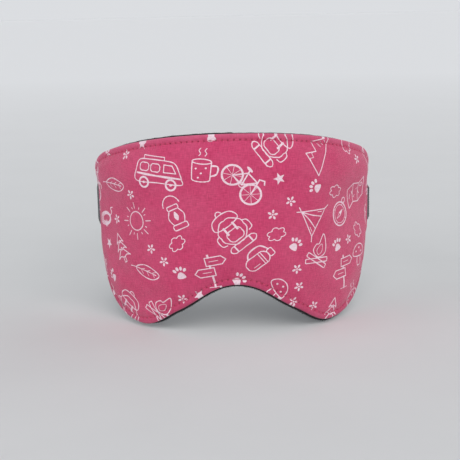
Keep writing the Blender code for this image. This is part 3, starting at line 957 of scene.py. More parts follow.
def make_lining(fleece):
    """Fleece lining: its face, its rounded edge and its hidden side."""
    flat, faces = fleece_sheet()
    points, normals = surface(flat, fleece_out)
    rim = rim_of(faces)[0]
    hidden_points, hidden_normals, hidden_flat, hidden_faces, hidden_loop = hidden_side(flat[rim])
    points, normals, flat, loops = stack_rings(points, -normals, flat, rim, fleece_roll(flat[rim]))
    loops.append([len(points) + index for index in hidden_loop])
    for first, second in zip(loops, loops[1:]):
        faces += bridge(first, second)
    faces = reversed_all(faces) + offset_all(hidden_faces, len(points))
    obj = put_mesh("lining_cloth", np.concatenate([points, hidden_points]), faces, (fleece,), None,
                   np.concatenate([flat, hidden_flat]), np.concatenate([normals, hidden_normals]))
    piece(obj, "mask", "black_fleece", "lining_panel")


# Puffing of the padded front, by a cloth simulation

SIM_GRID = 0.0040
SIM_FRAMES = 20
SIM_LIMIT = 0.0022


def pillow():
    """Coarse closed bag between the rows of stitches: its front moves, its back and seam are held."""
    outline = evenly_spaced(pattern_outline(STITCH_INSET + 0.0004), SIM_GRID)[::-1]
    flat, faces, _ = triangulate(outline, hexagonal_grid(SIM_GRID, STITCH_INSET + 0.003))
    front, normals = surface(flat, lambda places: cotton_out(places, holes=False))
    back = wrap(flat, np.full(len(flat), LINING_OUTER))
    rim = rim_of(faces)[0]
    count = len(flat)
    closed = doubled(faces, count) + bridge(rim, [count + index for index in rim])
    bag = put_mesh("puffing_bag", np.concatenate([front, back]), closed)
    held = bag.vertex_groups.new(name="held")
    held.add([int(index) for index in [*rim, *range(count, 2 * count)]], 1.0, "REPLACE")
    return bag, flat, front, normals


def simulate_puffing():
    """Blows the padded front up under pressure and keeps how far it moved."""
    bag, flat, front, normals = pillow()
    cloth = bag.modifiers.new("puffing", "CLOTH")
    cloth.settings.quality = 6
    cloth.settings.mass = 0.12
    cloth.settings.tension_stiffness = 18.0
    cloth.settings.compression_stiffness = 18.0
    cloth.settings.shear_stiffness = 8.0
    cloth.settings.bending_stiffness = 0.25
    cloth.settings.use_pressure = True
    cloth.settings.uniform_pressure_force = 4.0
    cloth.settings.shrink_min = -0.02
    cloth.settings.effector_weights.gravity = 0.0
    cloth.settings.vertex_group_mass = "held"
    cloth.collision_settings.use_collision = False
    scene = bpy.context.scene
    for number in range(1, SIM_FRAMES + 1):
        scene.frame_set(number)
    moved = bag.evaluated_get(bpy.context.evaluated_depsgraph_get()).to_mesh()
    places = np.zeros(3 * len(moved.vertices))
    moved.vertices.foreach_get("co", places)
    lift = ((places.reshape(-1, 3)[:len(flat)] - front) * normals).sum(axis=1)
    scene.frame_set(1)
    bpy.data.objects.remove(bag)
    SWELL["places"] = flat
    SWELL["lift"] = np.clip(lift, -SIM_LIMIT, SIM_LIMIT)


WADDING_INSET = STITCH_INSET + 0.0012
WADDING_SPACING = 0.003
WADDING_GRID = 0.005
WADDING_CLEAR = 0.00045
WADDING_ROUNDING = 0.0003


def make_wadding(fibre):
    """Pad of wadding between the cloths, inside the stitched seam."""
    outline = evenly_spaced(pattern_outline(WADDING_INSET), WADDING_SPACING)[::-1]
    flat, faces, _ = triangulate(outline, hexagonal_grid(WADDING_GRID, WADDING_INSET + 0.002))
    count = len(flat)
    upper = cotton_out(flat, holes=False) - CLOTH - WADDING_CLEAR
    lower = LINING_OUTER + 0.0001
    rim = rim_of(faces)[0]
    middle = wrap(flat[rim] + outwards_of(flat[rim]) * WADDING_ROUNDING, (upper[rim] + lower) / 2)
    points = np.concatenate([wrap(flat, upper), wrap(flat, np.full(count, lower)), middle])
    waist = [2 * count + index for index in range(len(rim))]
    closed = doubled(faces, count)
    closed += bridge(rim, waist) + bridge(waist, [count + index for index in rim])
    pad = put_mesh("wadding_pad", points, closed, (fibre,), None,
                   np.concatenate([flat, flat, flat[rim]]))
    piece(pad, "mask", "wadding_fibre", "wadding")


# Sewing threads

THREAD_SIDES = 8
THREAD_TWIST = 900.0
PLY_DEPTH = 0.08
STITCH_SHARE = 0.86
STITCH_STEPS = 9
STITCH_STANDS = 0.00012
STITCH_DIP = 0.00062
DIP_SHARE = 0.09
STITCH_WANDER = 0.00012


def tube_faces(size, stations, closed=False):
    """Faces of a tube of round cross-sections, with both ends capped unless it closes on itself."""
    rings = [list(range(station * size, (station + 1) * size)) for station in range(stations)]
    faces = [] if closed else [rings[0][::-1], rings[-1]]
    for here, there in zip(rings, rings[1:] + rings[:1] * closed):
        for number in range(size):
            following = (number + 1) % size
            faces.append([here[number], here[following], there[following], there[number]])
    return faces


def twisted_tube(track, normals, radius):
    """Closed tube of two plies twisted together, along a line."""
    along = unit(np.gradient(track, axis=0))
    side = unit(np.cross(along, normals))
    up = np.cross(side, along)
    twist = 2 * math.pi * THREAD_TWIST * lengths_along(track)
    rings = []
    for number in range(THREAD_SIDES):
        angle = 2 * math.pi * number / THREAD_SIDES
        reach = radius * (1.0 - PLY_DEPTH + 2 * PLY_DEPTH * np.cos(2 * (angle - twist)))
        rings.append(track + side * (reach * math.cos(angle))[:, None]
                     + up * (reach * math.sin(angle))[:, None])
    return np.stack(rings, axis=1).reshape(-1, 3), tube_faces(THREAD_SIDES, len(track))


def join(parts):
    points, faces, count = [], [], 0
    for part_points, part_faces in parts:
        points.append(part_points)
        faces += offset_all(part_faces, count)
        count += len(part_points)
    return np.concatenate(points), faces


def make_stitches(name, node, slot, thread, out_of, side):
    """One short thread from each hole to the next, dipping into the cloth at both ends."""
    share = np.linspace(0.0, 1.0, STITCH_STEPS)
    dip = ridge(np.minimum(share, 1 - share), 0.0, DIP_SHARE)
    following = np.roll(STITCHES, -1, axis=0)
    tubes = []
    for number, (here, there) in enumerate(zip(STITCHES, following)):
        flat = here + (0.5 + STITCH_SHARE * (share[:, None] - 0.5)) * (there - here)
        flat = flat + STITCH_WANDER * math.sin(2.4 * number)
        height = out_of(flat) + side * (STITCH_STANDS - STITCH_DIP * dip)
        _, normals = surface(flat, out_of)
        tubes.append(twisted_tube(wrap(flat, height), normals, THREAD))
    points, faces = join(tubes)
    piece(put_mesh(name, points, faces, (thread,)), "mask", slot, node)


# Elastic strap

RIBS = 13
RIB_DEPTH = 0.00017
BAND_EDGE = 0.0006
BAND_EDGE_HALF = 0.00036
PICK_PITCH = 0.00055
PIECE_GAP = 0.00002


def seam_path(side, out):
    across = side * np.linspace(SEAM_END - SEAM_DEPTH, SEAM_END, 4)
    flat = np.stack([across, np.zeros_like(across)], axis=1)
    return wrap(flat, np.full(len(across), out))[:, :2]


def seam_direction(side):
    points = seam_path(side, 0.0)
    return unit(points[-1] - points[-2])


def frame_at(place, direction):
    """Local frame in plan: Y along the direction, X to its right, which is outwards here."""
    return Matrix.Translation((*place, 0.0)) @ Matrix.Rotation(
        math.atan2(-direction[0], direction[1]), 4, "Z")


def in_frame(local, points):
    return np.array([(local @ Matrix.Translation((*point, 0.0))).translation[:2] for point in points])


def arc(centre, radius, first, last, steps=20):
    angles = np.linspace(first, last, steps + 1)
    return np.stack([centre[0] + radius * np.cos(angles), centre[1] + radius * np.sin(angles)], axis=1)


def shift(first, last, start, end, steps=16):
    """Line along the strap that moves smoothly from one distance outwards to another."""
    t = np.linspace(0.0, 1.0, steps + 1)
    return np.stack([first + (last - first) * smooth_step(t), start + (end - start) * t], axis=1)


TAB_MIDDLE = LINING_OUTER + GAP + STRAP_THICKNESS + GAP / 2
TAB_FRAME = frame_at(seam_path(1, 0.0)[-1], seam_direction(1))
FRONT_BAR = (TAB_MIDDLE, TAB_FREE)
RUN_DIRECTION = np.array([math.sin(RUN_SPLAY), math.cos(RUN_SPLAY)])
RING_DIRECTION = seam_direction(1) + RUN_DIRECTION
RING_FRAME = frame_at(in_frame(TAB_FRAME, [FRONT_BAR])[0], RING_DIRECTION)
RUN_FRAME = frame_at(in_frame(RING_FRAME, [(0.0, RING_PITCH)])[0], RUN_DIRECTION)
SLIDER_FRAME = RUN_FRAME @ Matrix.Translation((0.0, SLIDER_AT, 0.0))


def elastic_section():
    """Half-thicknesses and heights round a ribbed band with soft edges."""
    half = STRAP_WIDTH / 2
    heights = np.linspace(-half + BAND_EDGE, half - BAND_EDGE, RIBS * 6 + 1)
    rib = abs(np.sin(math.pi * RIBS * (heights + half) / STRAP_WIDTH))
    out = STRAP_THICKNESS / 2 - RIB_DEPTH * (1.0 - rib ** 0.6)
    angles = np.radians([-60, -30, 0, 30, 60])
    edge_out = BAND_EDGE_HALF * np.sin(angles)
    edge_height = half - BAND_EDGE + BAND_EDGE * np.cos(angles)
    outs = np.concatenate([out, -edge_out, -out, edge_out])
    ups = np.concatenate([heights, edge_height, heights[::-1], -edge_height])
    return outs, ups


def make_elastic(name, path, finish, body, nodes):
    """Woven elastic that stands on edge along a path in plan."""
    segments = unit(np.diff(path, axis=0))
    along = unit(np.concatenate([segments[:1], segments[:-1] + segments[1:], segments[-1:]]))
    side = np.stack([along[:, 1], -along[:, 0]], axis=1)
    outs, ups = elastic_section()
    size = len(outs)
    travelled = lengths_along(path)
    points, flat = [], []
    for place, sideways, length in zip(path, side, travelled):
        plan = place + outs[:, None] * sideways
        points.append(np.column_stack([plan, ups]))
        flat.append(np.column_stack([np.full(size, length), ups]))
    faces = tube_faces(size, len(path))
    band = put_mesh(name, np.concatenate(points), faces, (finish,), None, np.concatenate(flat))
    return piece(band, body, "black_elastic", *nodes)


def strap_path():
    layer_out = LINING_OUTER + GAP + STRAP_THICKNESS / 2
    seam = seam_path(-1, layer_out)
    run_end = in_frame(RUN_FRAME, [(RUN_LAYER, RUN_LENGTH)])[0]
    left_end = run_end * (-1.0, 1.0)
    forwards = RUN_DIRECTION * (-1.0, 1.0)
    left_side = bezier(seam[-1], seam_direction(-1), left_end, forwards, SIDE_HANDLES, 36)
    left_back = bezier(left_end, forwards, (0.0, BACK_DEPTH), (1.0, 0.0), BACK_HANDLES, 48)
    right_back = left_back[::-1] * (-1.0, 1.0)
    run = in_frame(RUN_FRAME, shift(RUN_LAYER, RUN_LAYER, RUN_LENGTH, RING_PLAY))
    turn = in_frame(RUN_FRAME, arc((0.0, RING_PLAY), RUN_LAYER, 0.0, -math.pi))
    tail = in_frame(RUN_FRAME, [(-RUN_LAYER, TAIL_START)])
    return np.concatenate([seam, left_side[1:], left_back[1:], right_back[1:], run[1:], turn[1:], tail])


def make_doubled_end(elastic):
    """Strap between ring and slider, built at one length; it gets shorter as the slider moves towards the
    ring.
    """
    start, end = TAIL_START + PIECE_GAP, SLIDER_AT - LOOP_LENGTH - PIECE_GAP
    path = in_frame(RUN_FRAME, shift(-RUN_LAYER, LOOP_LAYER, start, end))
    tail = make_elastic("strap_doubled_end", path, elastic, "mask", ["strap_tail"])
    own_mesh(tail)


def make_tab(elastic):
    """Short elastic folded round the ring, with both ends in the right side seam."""
    spread = (STRAP_THICKNESS + GAP) / 2
    radius = WIRE_RADIUS + GAP + STRAP_THICKNESS / 2
    outer = shift(TAB_MIDDLE + spread, TAB_MIDDLE + radius, SEAM_CLEAR, TAB_FREE)
    inner = shift(TAB_MIDDLE - radius, TAB_MIDDLE - spread, TAB_FREE, SEAM_CLEAR)
    path = np.concatenate([seam_path(1, TAB_MIDDLE + spread), in_frame(TAB_FRAME, outer),
                           in_frame(TAB_FRAME, arc(FRONT_BAR, radius, 0.0, math.pi))[1:-1],
                           in_frame(TAB_FRAME, inner), seam_path(1, TAB_MIDDLE - spread)[::-1]])
    make_elastic("ring_tab_elastic", path, elastic, "mask", ["ring_tab"])


def make_end_fold(elastic):
    """End of the strap, folded round the slider's middle bar."""
    under = LOOP_LAYER - STRAP_THICKNESS - GAP
    loop = np.concatenate([shift(LOOP_LAYER, LOOP_LAYER, -LOOP_LENGTH, 0.0),
                           arc((BAR_AT, 0.0), LOOP_RADIUS, 0.0, math.pi)[1:],
                           shift(BAR_AT - LOOP_RADIUS, under, 0.0, -LOOP_CLOSES_AT)[1:],
                           shift(under, under, -LOOP_CLOSES_AT, -LOOP_LENGTH)[1:]])
    make_elastic("strap_end_fold", in_frame(SLIDER_FRAME, loop), elastic, "slider", ["strap_end_loop"])


TACK_WIDTH = 0.0012
TACK_HOLES = 27
TACK_STANDS = 0.0001
TACK_THREAD = THREAD * 0.8


def make_bar_tack(thread):
    """Zigzag that closes the fold, on its inner face and through the same holes on its outer face."""
    tubes = []
    heights = np.linspace(-TACK_HALF_HEIGHT, TACK_HALF_HEIGHT, TACK_HOLES)
    inner = LOOP_LAYER - 1.5 * STRAP_THICKNESS - GAP - TACK_STANDS
    for out, side in ((inner, -1), (LOOP_LAYER + STRAP_THICKNESS / 2 + TACK_STANDS, 1)):
        track = []
        for index, height in enumerate(heights):
            along = -TACK_FROM_BAR + TACK_WIDTH / 2 * (1 if index % 2 else -1)
            track.append(SLIDER_FRAME @ Vector((out, along, height)))
        track = evenly_spaced(np.array([tuple(point) for point in track]), TRACK_STEP, closed=False)
        facing = SLIDER_FRAME.to_3x3() @ Vector((side, 0.0, 0.0))
        normals = np.broadcast_to(np.array(tuple(facing)), track.shape)
        tubes.append(twisted_tube(track, normals, TACK_THREAD))
    points, faces = join(tubes)
    piece(put_mesh("bar_tack", points, faces, (thread,)), "slider", "black_thread", "loop_stitch")


# Metal hardware

SLIDER_LENGTH = 0.013
SLIDER_HEIGHT = 0.0252
SLIDER_PLATE = 0.0012
SLIDER_CORNER = 0.0016
SLIDER_WINDOW_LENGTH = 0.0082
SLIDER_WINDOW_HEIGHT = 0.0212
SLIDER_WINDOW_CORNER = 0.0008
FOOT_AT = 0.0114
FOOT_CORNER = 0.0009
FOOT_RISE = 0.0022
FOOT_WIDENS = 0.0012
WIRE_STEP = 0.00035
JOINT_DEPTH = 0.16
JOINT_WIDTH = 0.00025


def swept(track, sections, closed):
    """Solid of given cross-sections (sideways, outwards offsets) along a track of local points."""
    if closed:
        along = np.roll(track, -1, axis=0) - np.roll(track, 1, axis=0)
    else:
        along = np.gradient(track, axis=0)
    along = unit(along)
    out = np.array([1.0, 0.0, 0.0]) if closed else np.array([0.0, 1.0, 0.0])
    side = np.cross(along, out)
    points = track[:, None] + sections[..., :1] * side[:, None] + sections[..., 1:] * out
    return points.reshape(-1, 3), tube_faces(sections.shape[1], len(track), closed)


def rounded_rectangle(half_along, half_up, corner, steps=10):
    """Loop of local points in the plane of a ring or buckle."""
    points = []
    for along_sign, up_sign, first in ((1, 1, 0), (-1, 1, 90), (-1, -1, 180), (1, -1, 270)):
        centre = (along_sign * (half_along - corner), up_sign * (half_up - corner))
        for angle in np.radians(np.linspace(first, first + 90, steps + 1)):
            points.append((0.0, centre[0] + corner * math.cos(angle), centre[1] + corner * math.sin(angle)))
    return np.array(points)


def in_place(local, points):
    return np.array([tuple(local @ Vector(point)) for point in points])


def make_ring(nickel):
    """Bent wire with a butt joint in the middle of its lower side."""
    loop = rounded_rectangle(RING_PITCH / 2, RING_HALF_HEIGHT, RING_CORNER)
    loop = evenly_spaced(loop, WIRE_STEP) + (0.0, RING_PITCH / 2, 0.0)
    joint = np.hypot(loop[:, 1] - RING_PITCH / 2, loop[:, 2] + RING_HALF_HEIGHT)
    radius = WIRE_RADIUS * (1.0 - JOINT_DEPTH * ridge(joint, 0.0, JOINT_WIDTH))
    angles = np.linspace(0.0, 2 * math.pi, 20, endpoint=False)
    sections = radius[:, None, None] * np.stack([np.cos(angles), np.sin(angles)], axis=1)
    points, faces = swept(loop, sections, True)
    piece(put_mesh("wire_ring", in_place(RING_FRAME, points), faces, (nickel,)),
          "ring", "nickel", "adjuster_ring")


def rounded_power(value, power=0.5):
    return np.sign(value) * abs(value) ** power


PLATE_AT = RUN_LAYER + STRAP_THICKNESS / 2 + GAP + SLIDER_PLATE / 2
ROUND_ANGLES = np.linspace(0.0, 2 * math.pi, 24, endpoint=False)


def slider_plate():
    """Cast window frame with rounded edges."""
    outer = rounded_rectangle(SLIDER_LENGTH / 2, SLIDER_HEIGHT / 2, SLIDER_CORNER)
    inner = rounded_rectangle(SLIDER_WINDOW_LENGTH / 2, SLIDER_WINDOW_HEIGHT / 2, SLIDER_WINDOW_CORNER)
    points = []
    for angle in ROUND_ANGLES:
        share = (1.0 + rounded_power(math.cos(angle))) / 2
        height = PLATE_AT + SLIDER_PLATE / 2 * rounded_power(math.sin(angle))
        points.append(inner + share * (outer - inner) + (height, 0.0, 0.0))
    return np.concatenate(points), tube_faces(len(outer), len(points), closed=True)


def slider_bar():
    """Middle bar that stands off the frame's inner side on two broad feet."""
    corner = []
    for angle in np.radians(np.linspace(0, 90, 9)):
        corner.append((BAR_AT + FOOT_CORNER * (1 - math.sin(angle)),
                       FOOT_AT - FOOT_CORNER * (1 - math.cos(angle))))
    upper = [(PLATE_AT, FOOT_AT), *corner]
    lower = [(out, -height) for out, height in upper[::-1]]
    track = np.array([(out, 0.0, height) for out, height in upper + lower])
    track = evenly_spaced(track, TRACK_STEP, closed=False)
    broad = smooth_step((track[:, 0] - BAR_AT - 0.0002) / FOOT_RISE)
    thin = np.stack([np.cos(ROUND_ANGLES), np.sin(ROUND_ANGLES)], axis=1)
    foot = rounded_power(thin)
    sections = []
    for share in broad:
        sections.append((thin + share * (foot - thin)) * (BAR_RADIUS, BAR_RADIUS + share * FOOT_WIDENS))
    return swept(track, np.array(sections), False)


def make_slider(nickel):
    points, faces = join([slider_plate(), slider_bar()])
    piece(put_mesh("strap_slider", in_place(SLIDER_FRAME, points), faces, (nickel,)),
          "slider", "nickel", "adjuster_slider")


# Fibres at the lining's edge

FIBRES = 3600
FIBRE_SEED = 7
FIBRE_WIDTH = 0.00004


def make_edge_fibres(fleece):
    """Short thin spikes that stick out all round, most of them where the lining shows most."""
    rng = np.random.default_rng(FIBRE_SEED)
    edge = evenly_spaced(OUTLINE, 0.0004)[::-1]
    reach = lining_reach(edge_place(edge)[1])
    outward = outwards_of(edge)
    weight = np.clip(reach, 0.0002, None)
    chosen = rng.choice(len(edge), FIBRES, p=weight / weight.sum())
    slant = rng.normal(0.0, 0.7, FIBRES)
    length = rng.uniform(0.0004, 0.0011, FIBRES) * (0.5 + reach[chosen] / 0.0012 * 0.5)
    depth = rng.uniform(-0.0003, 0.0009, FIBRES)
    out = rng.uniform(LINING_INNER + 0.0001, LINING_OUTER - 0.0001, FIBRES)
    rise = rng.normal(0.0, 0.00035, FIBRES)
    along = np.stack([-outward[:, 1], outward[:, 0]], axis=1)[chosen]
    root = edge[chosen] + outward[chosen] * (reach[chosen] - depth - 0.0002)[:, None]
    aim = unit(outward[chosen] + along * slant[:, None])
    tip = root + aim * (length + depth)[:, None]
    corners = [wrap(root + along * FIBRE_WIDTH, out), wrap(root - along * FIBRE_WIDTH, out),
               wrap(root, out + 1.6 * FIBRE_WIDTH), wrap(tip, out + rise)]
    points = np.stack(corners, axis=1).reshape(-1, 3)
    faces = []
    for base in range(0, len(points), 4):
        faces += [[base, base + 2, base + 1], [base, base + 1, base + 3],
                  [base + 1, base + 2, base + 3], [base + 2, base, base + 3]]
    fibres = put_mesh("lining_edge_fibres", points, faces, (fleece,))
    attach(fibres, "mask")


# Materials


def node(tree, kind, inputs=(), **settings):
    made = tree.nodes.new(kind)
    for key, value in settings.items():
        setattr(made, key, value)
    for key, value in dict(inputs).items():
        if isinstance(value, bpy.types.NodeSocket):
            tree.links.new(value, made.inputs[key])
        else:
            made.inputs[key].default_value = value
    return made.outputs


def calc(tree, operation, first, second=0.0):
    return node(tree, "ShaderNodeMath", {0: first, 1: second}, operation=operation)[0]


def blend_colour(tree, share, first, second, kind="MIX"):
    made = tree.nodes.new("ShaderNodeMix")
    made.data_type = "RGBA"
    made.blend_type = kind
    for socket, value in ((made.inputs[0], share), (made.inputs[6], first), (made.inputs[7], second)):
        if isinstance(value, bpy.types.NodeSocket):
            tree.links.new(value, socket)
        else:
            socket.default_value = value
    return made.outputs[2]


def spread(tree, value, low, high, to_low=0.0, to_high=1.0):
    return node(tree, "ShaderNodeMapRange", {"Value": value, "From Min": low, "From Max": high,
                                             "To Min": to_low, "To Max": to_high})[0]


def start_material(name, roughness, metallic=0.0, sheen=0.0, sheen_roughness=0.5, tint=(1, 1, 1, 1)):
    made = bpy.data.materials.new(name)
    made.use_nodes = True
    tree = made.node_tree
    shader = tree.nodes["Principled BSDF"]
    shader.inputs["Roughness"].default_value = roughness
    shader.inputs["Metallic"].default_value = metallic
    shader.inputs["Sheen Weight"].default_value = sheen
    shader.inputs["Sheen Roughness"].default_value = sheen_roughness
    shader.inputs["Sheen Tint"].default_value = tint
    return made, tree, shader


def cloth_place(tree, scale):
    """Flat pattern place, scaled separately across and up."""
    flat = node(tree, "ShaderNodeUVMap", uv_map="cloth")[0]
    return node(tree, "ShaderNodeMapping", {"Vector": flat, "Scale": (*scale, 1.0)})[0]


def noise(tree, vector, scale, detail=3.0, roughness=0.6):
    return node(tree, "ShaderNodeTexNoise", {"Vector": vector, "Scale": scale, "Detail": detail,
                                             "Roughness": roughness})[0]


def weave(tree, pitch):
    """Height of a plain weave, and which thread is on top."""
    split = node(tree, "ShaderNodeSeparateXYZ", {0: cloth_place(tree, (math.pi / pitch, math.pi / pitch))})
    across = calc(tree, "SINE", split[0])
    up = calc(tree, "SINE", split[1])
    product = calc(tree, "MULTIPLY", across, up)
    return calc(tree, "POWER", calc(tree, "ABSOLUTE", product), 0.5), product


def cloth_noise(tree, scale, detail=3.0, roughness=0.6, stretch=(1.0, 1.0)):
    return noise(tree, cloth_place(tree, stretch), scale, detail, roughness)


def finish(tree, shader, colour, height, distance, strength=1.0):
    """Gives a material its colour and its bump."""
    tree.links.new(colour, shader.inputs["Base Color"])
    bump = node(tree, "ShaderNodeBump", {"Height": height, "Distance": distance, "Strength": strength})[0]
    tree.links.new(bump, shader.inputs["Normal"])


COTTON_DARK = (0.468, 0.021, 0.094, 1.0)
COTTON_LIGHT = (0.706, 0.060, 0.186, 1.0)
COTTON_PALE = (0.700, 0.180, 0.300, 1.0)
# Colour of the painted shade along the lower edge.
COTTON_PAINTED_SHADE = (0.340, 0.045, 0.110, 1.0)
INK = (0.880, 0.740, 0.810, 1.0)
INK_THIN = (0.820, 0.460, 0.580, 1.0)
HOLE_SHADE = (0.180, 0.008, 0.035, 1.0)
THREAD_PINK = (0.600, 0.050, 0.140, 1.0)
WEAVE_PITCH = 0.00036
LOWER_EDGE_ENDS = (-0.030, -0.016)
# Reach of the painted highlight along the top and side edges.
PAINTED_HIGHLIGHT_REACH = 0.0045
# Band of the painted shade along the lower edge.
PAINTED_SHADE_REACH = (0.0015, 0.0055)


def cotton_materials():
    """Pink heathered cotton, and the same cloth under a thin pale ink.

    The border carries a painted highlight along the top and sides, and painted shade along the lower edge.
    """
    found = []
    for name, printed in (("cotton_cloth", False), ("cotton_print", True)):
        made, tree, shader = start_material(name, 0.85, sheen=0.30, sheen_roughness=0.40,
                                            tint=(1.0, 0.86, 0.90, 1.0))
        height, top = weave(tree, WEAVE_PITCH)
        warp = cloth_noise(tree, 1.0, 2.0, stretch=(2300.0, 260.0))
        weft = cloth_noise(tree, 1.0, 2.0, stretch=(260.0, 2300.0))
        slubs = calc(tree, "ADD", calc(tree, "MULTIPLY", warp, 0.5), calc(tree, "MULTIPLY", weft, 0.5))
        thread = calc(tree, "ADD", slubs, calc(tree, "MULTIPLY", top, 0.05))
        colour = blend_colour(tree, spread(tree, thread, 0.36, 0.66), COTTON_DARK, COTTON_LIGHT)
        dye = cloth_noise(tree, 45.0, 4.0)
        colour = blend_colour(tree, spread(tree, dye, 0.35, 0.75, 0.0, 0.22), colour, COTTON_PALE)
        distance = node(tree, "ShaderNodeAttribute", attribute_name="edge_distance")[2]
        up = node(tree, "ShaderNodeSeparateXYZ", {0: cloth_place(tree, (1.0, 1.0))})[1]
        high = spread(tree, up, *LOWER_EDGE_ENDS)
        # Painted highlight: paler cotton near the top and side edges, where the rolled edge catches light.
        painted_highlight = calc(tree, "MULTIPLY", high, spread(tree, distance, 0.0, PAINTED_HIGHLIGHT_REACH, 0.28, 0.0))
        colour = blend_colour(tree, painted_highlight, colour, COTTON_PALE)
        # Painted shade: darker cotton in a band near the lower edge.
        low = calc(tree, "SUBTRACT", 1.0, high)
        painted_shade = calc(tree, "MULTIPLY", low, spread(tree, distance, *PAINTED_SHADE_REACH, 0.34, 0.0))
        colour = blend_colour(tree, painted_shade, colour, COTTON_PAINTED_SHADE)
        if printed:
            worn = cloth_noise(tree, 900.0, 3.0)
            uneven = calc(tree, "ADD", worn, calc(tree, "MULTIPLY", slubs, 0.5))
            cover = spread(tree, uneven, 0.48, 0.86, 0.62, 1.0)
            ink = blend_colour(tree, spread(tree, warp, 0.3, 0.7), INK, INK_THIN)
            colour = blend_colour(tree, cover, colour, blend_colour(tree, 0.24, INK, ink))
        # Painted shade in and round the stitch holes.
        hole = node(tree, "ShaderNodeAttribute", attribute_name="hole_nearness")[2]
        colour = blend_colour(tree, calc(tree, "MULTIPLY", hole, 0.85), colour, HOLE_SHADE)
        relief = calc(tree, "ADD", height, calc(tree, "MULTIPLY", slubs, 1.6))
        finish(tree, shader, colour, relief, 0.00009, 0.75 if printed else 1.0)
        found.append(made)
    return found


def fleece_material():
    """Brushed pile: very short fibres in soft tufts, streaks of nap and paler worn places."""
    made, tree, shader = start_material("fleece_pile", 1.0, sheen=0.30, sheen_roughness=0.5,
                                        tint=(0.24, 0.24, 0.26, 1.0))
    pile = cloth_noise(tree, 3600.0, 3.0, 0.8)
    tufts = cloth_noise(tree, 1100.0, 4.0, 0.75)
    nap = cloth_noise(tree, 1.0, 4.0, stretch=(240.0, 90.0))
    wear = cloth_noise(tree, 60.0, 3.0)
    colour = blend_colour(tree, spread(tree, pile, 0.3, 0.75), (0.003, 0.003, 0.004, 1.0),
                          (0.022, 0.022, 0.024, 1.0))
    colour = blend_colour(tree, spread(tree, nap, 0.40, 0.70, 0.0, 0.55), colour, (0.028, 0.028, 0.031, 1.0))
    colour = blend_colour(tree, spread(tree, wear, 0.45, 0.75, 0.0, 0.3), colour, (0.040, 0.039, 0.041, 1.0))
    finish(tree, shader, colour, calc(tree, "ADD", pile, tufts), 0.00022)
    return made


def thread_material(name, colour, light):
    made, tree, shader = start_material(name, 0.45, sheen=0.25, sheen_roughness=0.4, tint=light)
    place = node(tree, "ShaderNodeTexCoord")["Object"]
    fibres = noise(tree, place, 2600.0, 3.0)
    shade = blend_colour(tree, spread(tree, fibres, 0.3, 0.7), colour, light)
    finish(tree, shader, blend_colour(tree, 0.75, shade, colour), fibres, 0.00004)
    return made


def elastic_material():
    made, tree, shader = start_material("elastic_band", 0.62, sheen=0.35, sheen_roughness=0.4,
                                        tint=(0.7, 0.7, 0.75, 1.0))
    split = node(tree, "ShaderNodeSeparateXYZ", {0: cloth_place(tree, (1.0, 1.0))})
    column = calc(tree, "FLOOR", calc(tree, "MULTIPLY", split[1], RIBS / STRAP_WIDTH))
    picks = calc(tree, "ADD", calc(tree, "MULTIPLY", split[0], math.pi / PICK_PITCH),
                 calc(tree, "MULTIPLY", column, math.pi / 2))
    loops = calc(tree, "ABSOLUTE", calc(tree, "SINE", picks))
    fuzz = cloth_noise(tree, 1300.0, 3.0)
    stretch = cloth_noise(tree, 1.0, 2.0, stretch=(60.0, 400.0))
    across = calc(tree, "MULTIPLY", split[1], math.pi * RIBS / STRAP_WIDTH)
    ribs = calc(tree, "ABSOLUTE", calc(tree, "SINE", across))
    # Painted shade: darker in the hollows between the loops and between the ribs, lighter on their tops.
    colour = blend_colour(tree, calc(tree, "MULTIPLY", loops, ribs), (0.004, 0.004, 0.005, 1.0),
                          (0.034, 0.034, 0.038, 1.0))
    colour = blend_colour(tree, spread(tree, calc(tree, "MULTIPLY", fuzz, stretch), 0.2, 0.45, 0.0, 0.35),
                          colour, (0.075, 0.073, 0.078, 1.0))
    finish(tree, shader, colour, calc(tree, "ADD", loops, calc(tree, "MULTIPLY", fuzz, 0.6)), 0.00016)
    return made


def nickel_material():
    made, tree, shader = start_material("nickel_plate", 0.25, metallic=1.0)
    place = node(tree, "ShaderNodeTexCoord")["Object"]
    cloudy = noise(tree, place, 260.0, 4.0)
    drawn = node(tree, "ShaderNodeMapping", {"Vector": place, "Scale": (6000.0, 6000.0, 300.0)})[0]
    scratches = noise(tree, drawn, 1.0, 3.0)
    colour = blend_colour(tree, spread(tree, cloudy, 0.4, 0.8),
                          (0.68, 0.66, 0.62, 1.0), (0.54, 0.51, 0.46, 1.0))
    tree.links.new(spread(tree, calc(tree, "ADD", cloudy, scratches), 0.7, 1.35, 0.16, 0.42),
                   shader.inputs["Roughness"])
    finish(tree, shader, colour, scratches, 0.00001)
    return made


def wadding_material():
    made, tree, shader = start_material("wadding_fibres", 0.95, sheen=0.5)
    fibres = cloth_noise(tree, 800.0, 5.0, 0.75)
    colour = blend_colour(tree, fibres, (0.66, 0.65, 0.62, 1.0), (0.88, 0.87, 0.84, 1.0))
    finish(tree, shader, colour, fibres, 0.0004)
    return made


# Camera, light and floor

FLOOR_AT = -0.0618
BACKDROP = (0.712, 0.727, 0.753, 1.0)
SKY = (0.305, 0.320, 0.335, 1.0)


